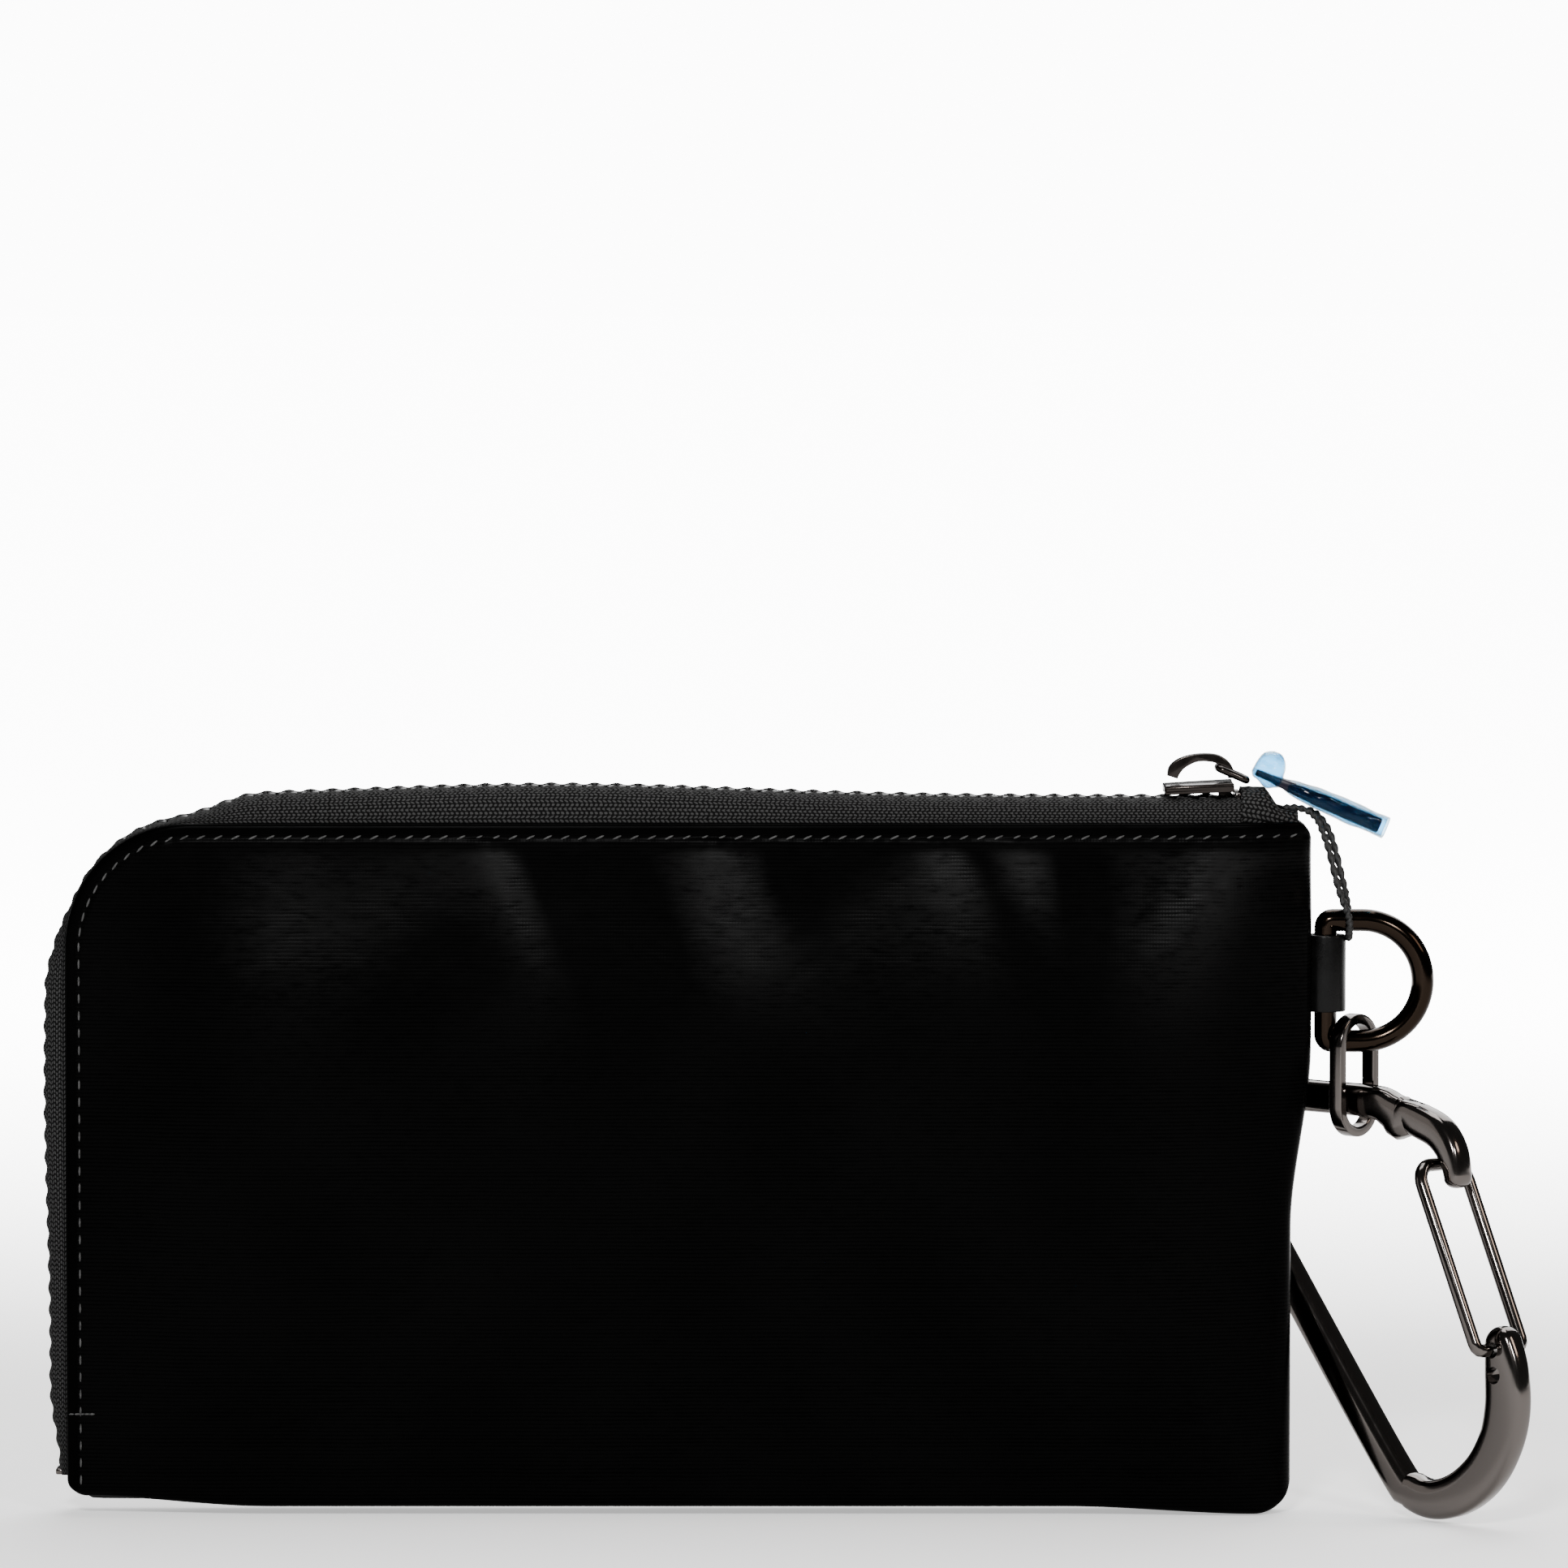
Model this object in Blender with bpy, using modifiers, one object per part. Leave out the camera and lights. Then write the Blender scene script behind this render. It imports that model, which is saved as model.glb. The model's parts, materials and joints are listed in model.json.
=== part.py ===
"""Zippered pouch: two canvas panels with linings, an L-shaped zip, and a carabiner on a D-ring.

The pouch stands on its base, origin in the middle of the base face, +Z up. The plain rear
panel faces -Y. Run with: blender --background --python part.py
"""

import math

import bmesh
import bpy
from mathutils import Matrix, Vector

# --- clearances -------------------------------------------------------------------------
GAP = 0.0003  # air left between two pieces that touch
WRAP_GAP = 0.0005  # air round a cord or thread that wraps another piece

# --- pouch ------------------------------------------------------------------------------
LEFT_X = -0.0923  # turned edge along the zip's side run
RIGHT_X = 0.0951  # side seam, beside the ring tab
FOOT_LEAN = 0.0029  # the side seam is this much further in at the base
STEP_LOW_Z, STEP_HIGH_Z = 0.043, 0.070  # the side seam leans in between these heights
PANEL_TOP = 0.1048  # turned edge along the zip's top run
PANEL_WALL = 0.0009
LINING_WALL = 0.0004
HALF_DEPTH = 0.0100  # from the middle plane to the panel's face, at the belly
TOP_HALF_DEPTH = 0.0079
SIDE_HALF_DEPTH = 0.0062
BASE_HALF_DEPTH = 0.0056
SEAM_HALF_DEPTH = 0.0011
TOP_EASE, SIDE_EASE, BASE_EASE, SEAM_EASE = 0.030, 0.030, 0.045, 0.035
ZIP_CORNER_R = 0.0190
BASE_CORNER_R = 0.0055
SMALL_CORNER_R = 0.0030
BASE_FILLET = 0.0020
BASE_SEAM_Y = 0.0025  # the rear panel turns under the base past the middle, to this seam
BASE_SEAM_FROM, BASE_SEAM_OVER = 0.0015, 0.0030  # where the base is thin, the seam eases to the middle
PANEL_COLUMNS, PANEL_ROWS, PANEL_CROWD = 26, 13, 1.5

# --- zip --------------------------------------------------------------------------------
TAPE_WALL = 0.0006
TAPE_LAP = 0.0040  # sewn between panel and lining
TAPE_END_X = RIGHT_X - 0.0106
TAPE_STEP = 0.009
TAPE_TURN_LOW, TAPE_TURN_HIGH = 0.1, 0.35  # shares of the rise where the tape bends over
TAPE_FLAT_Y = 0.0058  # the tape is level out to here, where the slider's lips run
ZIP_RISE = 0.0035  # the row of teeth stands this far past the panel's edge
SIDE_RISE = 0.0030
ZIP_FOOT_Z = 0.0060
ZIP_FOOT_SINK, ZIP_FOOT_EASE = 0.6, 0.014  # the zip sinks between the panels at its foot
CORNER_STEPS = 9
CORNER_TUCK, TUCK_EASE = 0.6, 0.008  # the zip lies lower between the panels round the corner
TEETH_PITCH = 0.0033
TEETH_WALL = 0.0016
TEETH_REACH = 0.0010  # tooth tips pass the middle by this
TEETH_BACK = 0.0024
TEETH_RAMP = 0.00025
TEETH_SPREAD = 0.0019  # each row moves out by this round the slider's wedge
STOP_LENGTH = 0.0009
BOTTOM_STOP_DROP = 0.0009
STOP_BEVEL = 0.0002
END_TAB_SHORT = 0.0022  # the folded tape ends stop this far from the side seam
END_TAB_RISE, END_TAB_FALL = 0.0028, 0.0012
END_TAB_EASE = 0.0002
END_TAB_CUTS = 3
END_TAB_BEVEL = 0.0005
THREAD_R = 0.00025
STITCH_INSET = 0.0021

# --- slider and puller --------------------------------------------------------------------
SLIDER_X1 = TAPE_END_X - 0.0011
SLIDER_X0 = SLIDER_X1 - 0.0105
SLIDER_HALF_WIDTH = 0.0051
SLIDER_WALL = 0.0010
SLIDER_LIP = 0.0005
WEDGE_HALF_WIDTH = 0.0006
WEDGE_SHARE = 0.35  # of the slider's length
WEDGE_REACH = 0.6  # the rows part over this share of it
PARTING_STEP, PARTING_STEPS = 0.001, 8
BRIDGE_THICK, BRIDGE_HALF_WIDTH = 0.0010, 0.0012
PLATE_TOP = PANEL_TOP + ZIP_RISE + TEETH_WALL / 2 + GAP + SLIDER_WALL
PULLER_AXIS = Vector((SLIDER_X1 - 0.0005, 0.0, PLATE_TOP + 0.0015))
PULLER_DROOP = math.radians(23.4)
PULLER_WIRE_R = 0.0005
EYE_BACK, EYE_FRONT, EYE_HALF_WIDTH = 0.0022, 0.0026, 0.0021
BAR_START, BAR_END = 0.0034, 0.0238
BAR_HALF_WIDTH, BAR_HALF_THICK, BAR_LIFT = 0.0022, 0.0012, 0.00165
FILM_WALL = 0.00035
FILM_START, FILM_END = BAR_START + 0.0006, BAR_END + 0.0010
PULLER_CORNER_R, BAR_BEVEL = 0.0008, 0.0004
KNOT_R = Vector((0.0022, 0.0027, 0.0031))
KNOT_START, KNOT_LIFT = 0.75, 0.0006

# --- ring, link, carabiner ---------------------------------------------------------------
RING_R, RING_WIRE_R, RING_STUB = 0.00915, 0.0017, 0.0055
RING_BAR_X, RING_Z = RIGHT_X + RING_WIRE_R + 0.0005, PANEL_TOP - 0.0243
RING_CORNER_R = 0.0010
TAB_LOW_Z, TAB_HIGH_Z = RING_Z - 0.0046, RING_Z + 0.0057
TAB_PLY, TAB_IN_SEAM = 0.0011, 0.0030
TAB_EASE = 0.008
LINING_DROP = 0.0014  # the linings end this far inside the panels' turned edge
LINING_SEAM_INSET = 0.0016  # the linings end this much further in than their layer
LINK_X, LINK_TURN = RING_BAR_X + 0.0044, math.radians(40)
LINK_WALL, LINK_HALF_THICK, LINK_HALF_WIDTH = 0.0015, 0.0009, 0.0041
LINK_LENGTH, LINK_PLAY = 0.0186, 0.00095
LINK_HIGH_Z = RING_Z - RING_R + RING_WIRE_R + LINK_PLAY + LINK_WALL
LINK_LOW_Z = LINK_HIGH_Z - LINK_LENGTH
CARABINER_TURN = math.radians(45)
CARABINER_HALF_THICK = 0.0021
CARABINER_FOOT_Z = LINK_LOW_Z - 0.0569  # the outline's heights count from here
CARABINER_ROUND = 0.0006
GATE_WIRE_R = 0.00085
GATE_HALF_WIDTH = 0.0052
GATE_PIVOT = (0.0294, 0.0272)  # in the carabiner's plane: along it, and up
GATE_TOP = (0.0172, 0.0540)
CORD_R = 0.00045

BLACK_CANVAS = ("black_canvas", (0.012, 0.012, 0.014), 0.55, 0.0)
LINING_CLOTH = ("lining_cloth", (0.02, 0.02, 0.022), 0.8, 0.0)
ZIP_TAPE = ("zip_tape", (0.02, 0.02, 0.023), 0.8, 0.0)
BLACK_NICKEL = ("black_nickel", (0.10, 0.095, 0.09), 0.22, 1.0)
DARK_BRONZE = ("dark_bronze", (0.07, 0.055, 0.045), 0.2, 1.0)
SMOOTH_LEATHER = ("smooth_leather", (0.012, 0.011, 0.011), 0.45, 0.0)
THREAD = ("charcoal_thread", (0.06, 0.06, 0.065), 0.7, 0.0)
CORD_YARN = ("cord_yarn", (0.015, 0.015, 0.016), 0.7, 0.0)
BLUE_FILM = ("blue_film", (0.25, 0.55, 0.8), 0.15, 0.0)


def clear_scene():
    """Removes every object, so that the script can run again in an open file."""
    for obj in list(bpy.data.objects):
        bpy.data.objects.remove(obj, do_unlink=True)


def collection(name, hidden=False):
    made = bpy.data.collections.new(name)
    bpy.context.scene.collection.children.link(made)
    made.hide_render = hidden
    return made


def material(finish):
    name, colour, roughness, metallic = finish
    made = bpy.data.materials.get(name) or bpy.data.materials.new(name)
    made.use_nodes = True
    shader = made.node_tree.nodes["Principled BSDF"]
    shader.inputs["Base Color"].default_value = (*colour, 1.0)
    shader.inputs["Roughness"].default_value = roughness
    shader.inputs["Metallic"].default_value = metallic
    return made


def link_object(name, data, where, finish=None):
    obj = bpy.data.objects.new(name, data)
    where.objects.link(obj)
    if finish:
        data.materials.append(material(finish))
    return obj


def from_bmesh(name, bm, where, finish=None):
    bmesh.ops.recalc_face_normals(bm, faces=bm.faces)
    mesh = bpy.data.meshes.new(name)
    bm.to_mesh(mesh)
    bm.free()
    return link_object(name, mesh, where, finish)


def ease(t):
    """Smooth step from 0 to 1."""
    t = min(max(t, 0.0), 1.0)
    return t * t * (3 - 2 * t)


def bow(t):
    """Quarter ellipse from 0 to 1, steep at the start."""
    t = min(max(t, 0.0), 1.0)
    return math.sqrt(1 - (1 - t) ** 2)


def seam_x(z):
    """The side seam's place, which leans in towards the base."""
    lean = ease((z - STEP_LOW_Z) / (STEP_HIGH_Z - STEP_LOW_Z))
    return RIGHT_X - FOOT_LEAN * (1 - lean)


def seam_depth(z):
    """Half the thickness at the side seam, which swells where the ring tab comes out."""
    swell = TAB_PLY + 3 * GAP + PANEL_WALL - SEAM_HALF_DEPTH
    past = abs(z - (TAB_LOW_Z + TAB_HIGH_Z) / 2) - (TAB_HIGH_Z - TAB_LOW_Z) / 2 - TAB_EASE / 2
    return SEAM_HALF_DEPTH + swell * (1 - ease(past / TAB_EASE))


def half_depth(x, z):
    """From the middle plane to the panel's outer face."""
    drops = (
        (HALF_DEPTH - TOP_HALF_DEPTH) * (1 - ease((PANEL_TOP - z) / TOP_EASE)),
        (HALF_DEPTH - SIDE_HALF_DEPTH) * (1 - ease((x - LEFT_X) / SIDE_EASE)),
        (HALF_DEPTH - BASE_HALF_DEPTH) * (1 - math.sin(math.pi / 2 * min(max(z, 0) / BASE_EASE, 1))),
        (HALF_DEPTH - seam_depth(z)) * (1 - bow((seam_x(z) - x) / SEAM_EASE)),
    )
    return HALF_DEPTH - sum(drop**6 for drop in drops) ** (1 / 6)


def rounded(x, z, box):
    """Pulls a point of a rectangle's corner onto a quarter disc. box is x0, x1, z0, z1."""
    x0, x1, z0, z1 = box
    corners = (
        (x0, z1, ZIP_CORNER_R),
        (x1, z1, SMALL_CORNER_R),
        (x0, z0, SMALL_CORNER_R),
        (x1, z0, BASE_CORNER_R),
    )
    for corner_x, corner_z, radius in corners:
        to_x = 1 if corner_x == x1 else -1
        to_z = 1 if corner_z == z1 else -1
        a = (x - corner_x) * to_x + radius
        b = (z - corner_z) * to_z + radius
        if a > 0 and b > 0:
            narrow = a * math.sqrt(1 - b * b / (2 * radius**2))
            low = b * math.sqrt(1 - a * a / (2 * radius**2))
            return corner_x + to_x * (narrow - radius), corner_z + to_z * (low - radius)
    return x, z


def grid_sheet(name, columns, rows, place, wall, where, finish):
    """A grid whose points are put by place(column, row), given a wall towards the inside."""
    bm = bmesh.new()
    bmesh.ops.create_grid(bm, x_segments=len(columns) - 1, y_segments=len(rows) - 1, size=0.5)
    for vert in bm.verts:
        column = round((vert.co.x + 0.5) * (len(columns) - 1))
        row = round((vert.co.y + 0.5) * (len(rows) - 1))
        vert.co = place(columns[column], rows[row])
    mesh = bpy.data.meshes.new(name)
    bm.to_mesh(mesh)
    bm.free()
    obj = link_object(name, mesh, where, finish)
    solid = obj.modifiers.new("wall", "SOLIDIFY")
    solid.thickness = wall
    solid.offset = 0.0
    solid.use_even_offset = True
    mesh.shade_smooth()
    return obj


def spread(start, end, count, crowd=1.0):
    """count + 1 values from start to end, closer together at the end where crowd is over 1."""
    return [start + (end - start) * (1 - (1 - i / count) ** crowd) for i in range(count + 1)]


def make_panel(name, side, inset, wall, finish, where):
    """One cloth of the shell, lying inset inside the pouch's outer face. side is -1 at the rear.

    The grid runs from the seam under the base, round the base fillet and up the face.
    """
    middle = inset + wall / 2
    edge_drop = LINING_DROP if inset else 0.0
    foot, top = middle, PANEL_TOP - edge_drop
    columns = spread(0.0, 1.0, PANEL_COLUMNS, PANEL_CROWD)
    lip = [("seam", 0.0), (0.6, 0.0), (0.88, 0.3), (1.0, 1.0)]  # share of the depth, of the fillet
    rows = lip + [("face", t) for t in spread(0.0, 1.0, PANEL_ROWS)[1:]]

    def place(share, row):
        across, up = row
        z = foot + BASE_FILLET * up
        if across == "face":
            z = foot + BASE_FILLET + (top - foot - BASE_FILLET) * up
        left, right = LEFT_X + edge_drop, seam_x(z) - inset - (LINING_SEAM_INSET if inset else 0.0)
        x = left + (right - left) * share
        x, z = rounded(x, z, (left, right, foot, top))
        depth = half_depth(x + (inset if x > 0 else 0.0), z) - middle
        depth = max(depth, wall / 2 + GAP / 2)
        if across == "seam":
            seam = BASE_SEAM_Y * ease((depth - BASE_SEAM_FROM) / BASE_SEAM_OVER) if inset == 0 else 0.0
            return Vector((x, seam + side * GAP / 2, z))
        return Vector((x, side * depth * (1.0 if across == "face" else across), z))

    return grid_sheet(name, columns, rows, place, wall, where, finish)


class ZipLine:
    """The turned edge of the panels, followed from the side seam round to the zip's foot."""

    def __init__(self):
        self.top = TAPE_END_X - (LEFT_X + ZIP_CORNER_R)
        self.arc = ZIP_CORNER_R * math.pi / 2
        self.side = PANEL_TOP - ZIP_CORNER_R - ZIP_FOOT_Z
        self.length = self.top + self.arc + self.side

    def tuck(self, s):
        """The share of the rise that is left at distance s, which is least round the corner."""
        past = max(self.top - s, s - self.top - self.arc, 0.0)
        return 1 - CORNER_TUCK * (1 - ease(past / TUCK_EASE))

    def at(self, s):
        """(point on the edge, outward direction, rise of the teeth) at distance s."""
        centre = Vector((LEFT_X + ZIP_CORNER_R, 0.0, PANEL_TOP - ZIP_CORNER_R))
        if s <= self.top:
            return Vector((TAPE_END_X - s, 0.0, PANEL_TOP)), Vector((0, 0, 1)), ZIP_RISE * self.tuck(s)
        angle = min((s - self.top) / ZIP_CORNER_R, math.pi / 2)
        out = Vector((-math.sin(angle), 0.0, math.cos(angle)))
        rise = ZIP_RISE + (SIDE_RISE - ZIP_RISE) * ease(angle / (math.pi / 2))
        down = max(s - self.top - self.arc, 0.0)
        rise *= self.tuck(s)
        rise *= 1 - ZIP_FOOT_SINK * ease((down - self.side + ZIP_FOOT_EASE) / ZIP_FOOT_EASE)
        return centre + out * ZIP_CORNER_R + Vector((0, 0, -down)), out, rise

    def stations(self, step):
        """Distances along the line, dense enough to follow the corner."""
        count = round(self.top / step)
        straight = [self.top * i / count for i in range(count)]
        turn = [self.top + self.arc * i / CORNER_STEPS for i in range(CORNER_STEPS)]
        count = round(self.side / step)
        down = [self.top + self.arc + self.side * i / count for i in range(count + 1)]
        return straight + turn + down


def spread_at(s):
    """How far each half of the zip stands aside, round the slider's wedge, at distance s."""
    inside = TAPE_END_X - s - SLIDER_X0
    return TEETH_SPREAD * ease(inside / (WEDGE_REACH * (SLIDER_X1 - SLIDER_X0)))


def make_tape(name, side, line, where):
    """The cloth of one half of the zip, from its lap inside the panel to the teeth."""
    parting = [TAPE_END_X - SLIDER_X0 - PARTING_STEP * i for i in range(PARTING_STEPS)]
    stations = sorted(set(line.stations(TAPE_STEP) + parting))
    shape = ("lap", "edge", "shoulder", "flat", "root")

    def place(s, point):
        edge, out, rise = line.at(s)
        inner = half_depth(edge.x, edge.z) - PANEL_WALL - GAP - TAPE_WALL / 2
        flat = min(TAPE_FLAT_Y, inner - GAP)
        root = TEETH_BACK + 1.5 * GAP + spread_at(s)
        y, height = {
            "lap": (inner, -TAPE_LAP),
            "edge": (inner, TAPE_TURN_LOW * rise),
            "shoulder": (inner - GAP / 3, TAPE_TURN_HIGH * rise),
            "flat": (flat, rise),
            "root": (min(root, flat - GAP), rise),
        }[point]
        return edge + out * height + Vector((0.0, side * y, 0.0))

    return grid_sheet(name, stations, shape, place, TAPE_WALL, where, ZIP_TAPE)


def make_teeth(name, side, line, where):
    """One row of teeth on its cord: a strip whose inner edge steps out at each tooth."""
    land = TEETH_PITCH / 2 - TEETH_RAMP
    shift = 0.0 if side < 0 else TEETH_PITCH / 2
    first = TEETH_PITCH / 2
    stations = []
    for n in range(int((line.length - TEETH_PITCH - shift) / TEETH_PITCH)):
        start = first + shift + n * TEETH_PITCH
        tooth = land - GAP
        stations += [(start, 0), (start + TEETH_RAMP, 1), (start + tooth, 1), (start + tooth + TEETH_RAMP, 0)]
    rows = ("back", "tip")

    def place(station, row):
        s, tooth = station
        edge, out, rise = line.at(s)
        reach = -TEETH_REACH if tooth else TEETH_REACH + GAP
        y = (TEETH_BACK if row == "back" else reach) + spread_at(s)
        return edge + out * rise + Vector((0.0, side * y, 0.0))

    return grid_sheet(name, stations, rows, place, TEETH_WALL, where, ZIP_TAPE)


def box_bmesh(low, high):
    bm = bmesh.new()
    bmesh.ops.create_cube(bm, size=1.0)
    low, high = Vector(low), Vector(high)
    size = high - low
    bmesh.ops.scale(bm, vec=size, verts=bm.verts)
    bmesh.ops.translate(bm, vec=(low + high) / 2, verts=bm.verts)
    return bm


def box(name, low, high, where, finish, bevel=0.0):
    obj = from_bmesh(name, box_bmesh(low, high), where, finish)
    if bevel:
        edge = obj.modifiers.new("round", "BEVEL")
        edge.width = bevel
        edge.segments = 2
        edge.limit_method = "ANGLE"
    return obj


def boolean(obj, other, operation):
    cut = obj.modifiers.new(operation.lower(), "BOOLEAN")
    cut.operation = operation
    cut.object = other
    cut.solver = "EXACT"
    return cut


def helper(name, bm, helpers):
    obj = from_bmesh(name, bm, helpers)
    obj.hide_render = True
    obj.display_type = "WIRE"
    return obj


def wire(name, points, radius, where, finish, cyclic=False, sides=2):
    """A round wire along the points."""
    data = bpy.data.curves.new(name, "CURVE")
    data.dimensions = "3D"
    data.twist_mode = "MINIMUM"
    data.bevel_depth = radius
    data.bevel_resolution = sides
    data.use_fill_caps = not cyclic
    spline = data.splines.new("POLY")
    spline.points.add(len(points) - 1)
    for knot, point in zip(spline.points, points):
        knot.co = (*point, 1.0)
    spline.use_cyclic_u = cyclic
    return link_object(name, data, where, finish)


def plate(name, outlines, half_thick, bevel, where, finish):
    """A flat plate from closed outlines in XY, the first outside and the others holes."""
    data = bpy.data.curves.new(name, "CURVE")
    data.dimensions = "2D"
    data.fill_mode = "BOTH"
    data.extrude = half_thick - bevel
    data.bevel_depth = bevel
    data.offset = -bevel
    data.bevel_resolution = 1
    for outline in outlines:
        spline = data.splines.new("POLY")
        spline.points.add(len(outline) - 1)
        for knot, (x, y) in zip(spline.points, outline):
            knot.co = (x, y, 0.0, 1.0)
        spline.use_cyclic_u = True
    return link_object(name, data, where, finish)


def smooth_path(knots, per_span):
    """Catmull-Rom points through the knots."""
    knots = [Vector(k) for k in knots]
    ends = [2 * knots[0] - knots[1]] + knots + [2 * knots[-1] - knots[-2]]
    points = []
    for a, b, c, d in zip(ends, ends[1:], ends[2:], ends[3:]):
        for i in range(per_span):
            t = i / per_span
            points.append(
                0.5 * (2 * b + (c - a) * t + (2 * a - 5 * b + 4 * c - d) * t * t + (3 * b - a - 3 * c + d) * t**3)
            )
    return points + [knots[-1]]


def arc(centre, radius, start, end, count):
    """Points on an arc in a plane, from start to end in degrees, both included."""
    angles = [math.radians(start + (end - start) * i / count) for i in range(count + 1)]
    return [(centre[0] + radius * math.cos(a), centre[1] + radius * math.sin(a)) for a in angles]


def upright(x, turn, foot=0.0):
    """A plane standing at x, foot up: its first axis is turned about Z towards -Y, its second is +Z."""
    along = Vector((math.cos(turn), -math.sin(turn), 0.0))
    up = Vector((0.0, 0.0, 1.0))
    across = along.cross(up)
    frame = Matrix((along, up, across)).transposed().to_4x4()
    frame.translation = Vector((x, 0.0, foot))
    return frame


def make_shell(where):
    make_panel("rear_panel", -1, 0.0, PANEL_WALL, BLACK_CANVAS, where)
    make_panel("front_panel", 1, 0.0, PANEL_WALL, BLACK_CANVAS, where)
    inset = PANEL_WALL + TAPE_WALL + 2 * GAP + GAP
    make_panel("rear_lining", -1, inset, LINING_WALL, LINING_CLOTH, where)
    make_panel("front_lining", 1, inset, LINING_WALL, LINING_CLOTH, where)


def make_topstitch(name, side, line, where):
    """The thread that runs along the turned edge, through panel, tape and lining."""
    points = []
    for s in line.stations(TAPE_STEP - 0.001):
        edge, out, _ = line.at(s)
        on = edge - out * STITCH_INSET
        y = half_depth(on.x, on.z) + WRAP_GAP + THREAD_R
        points.append(on + Vector((0.0, side * y, 0.0)))
    wire(name, points, THREAD_R, where, THREAD, sides=1)


def make_stops(line, where):
    """Top stops on the ends of both rows, a bottom stop across them, and the folded end."""
    crest = PANEL_TOP + ZIP_RISE
    start = TAPE_END_X - TEETH_PITCH / 2 + 2 * GAP
    for name, side in (("rear_top_stop", -1), ("front_top_stop", 1)):
        inner = TEETH_SPREAD - TEETH_REACH
        outer = TEETH_SPREAD + TEETH_BACK
        low = (start, min(side * inner, side * outer), crest - TEETH_WALL / 2)
        high = (start + STOP_LENGTH, max(side * inner, side * outer), crest + TEETH_WALL / 2)
        box(name, low, high, where, BLACK_NICKEL, bevel=STOP_BEVEL)
    edge, out, rise = line.at(line.length - TEETH_PITCH / 3)
    middle = edge + out * rise
    reach = TEETH_BACK - GAP
    low = middle + Vector((-TEETH_WALL / 2, -reach, -STOP_LENGTH / 2 - BOTTOM_STOP_DROP))
    high = middle + Vector((TEETH_WALL / 2, reach, STOP_LENGTH / 2 - BOTTOM_STOP_DROP))
    box("bottom_stop", low, high, where, BLACK_NICKEL, bevel=STOP_BEVEL)


def make_end_tab(where):
    """The tape ends, folded over and closed into the top of the side seam."""
    columns = spread(TAPE_END_X + 2 * GAP + STOP_LENGTH / 2, RIGHT_X - END_TAB_SHORT, END_TAB_CUTS + 1)
    bm = bmesh.new()
    bmesh.ops.create_cube(bm, size=1.0)
    bmesh.ops.subdivide_edges(
        bm, edges=[e for e in bm.edges if abs((e.verts[0].co - e.verts[1].co).x) > 0.5], cuts=END_TAB_CUTS
    )
    for vert in bm.verts:
        x = columns[round((vert.co.x + 0.5) * (END_TAB_CUTS + 1))]
        fall = ease((x - columns[0]) / (columns[-1] - columns[0]))
        inner = half_depth(x, PANEL_TOP) - PANEL_WALL - GAP - END_TAB_EASE
        top = PANEL_TOP + END_TAB_RISE - END_TAB_FALL * fall
        low = PANEL_TOP - LINING_DROP + 2 * GAP
        vert.co = (x, math.copysign(inner, vert.co.y), top if vert.co.z > 0 else low)
    tab = from_bmesh("zip_end_tab", bm, where, ZIP_TAPE)
    edge = tab.modifiers.new("round", "BEVEL")
    edge.width = END_TAB_BEVEL
    edge.segments = 2
    edge.limit_method = "ANGLE"


def make_slider(where, helpers):
    """The slider: two lipped plates joined by the wedge that parts the rows."""
    crest = PANEL_TOP + ZIP_RISE
    inside = TEETH_WALL / 2 + GAP
    outside = inside + SLIDER_WALL
    slot = TAPE_WALL / 2 + GAP
    half = SLIDER_HALF_WIDTH
    body = box(
        "slider_body",
        (SLIDER_X0, -half, crest + inside),
        (SLIDER_X1, half, crest + outside),
        where,
        BLACK_NICKEL,
    )
    overlap = 0.0002
    pieces = [((SLIDER_X0, -half, crest - outside), (SLIDER_X1, half, crest - inside))]
    for side in (-1, 1):
        y = sorted((side * half, side * (half - SLIDER_LIP)))
        pieces.append(((SLIDER_X0, y[0], crest + slot), (SLIDER_X1, y[1], crest + inside + overlap)))
        pieces.append(((SLIDER_X0, y[0], crest - inside - overlap), (SLIDER_X1, y[1], crest - slot)))
    for number, (low, high) in enumerate(pieces):
        boolean(body, helper(f"slider_piece_{number}", box_bmesh(low, high), helpers), "UNION")
    wedge = bmesh.new()
    bmesh.ops.create_cone(
        wedge,
        cap_ends=True,
        segments=3,
        radius1=1.0,
        radius2=1.0,
        depth=2 * (inside + overlap),
        matrix=Matrix.Rotation(math.pi, 4, "Z"),
    )
    length = WEDGE_SHARE * (SLIDER_X1 - SLIDER_X0)
    xs = [v.co.x for v in wedge.verts]
    ys = [abs(v.co.y) for v in wedge.verts]
    for vert in wedge.verts:
        share = (vert.co.x - min(xs)) / (max(xs) - min(xs))
        vert.co.x = SLIDER_X1 - length * (1 - share)
        vert.co.y *= WEDGE_HALF_WIDTH / max(ys)
        vert.co.z += crest
    boolean(body, helper("slider_wedge", wedge, helpers), "UNION")
    return body


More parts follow.
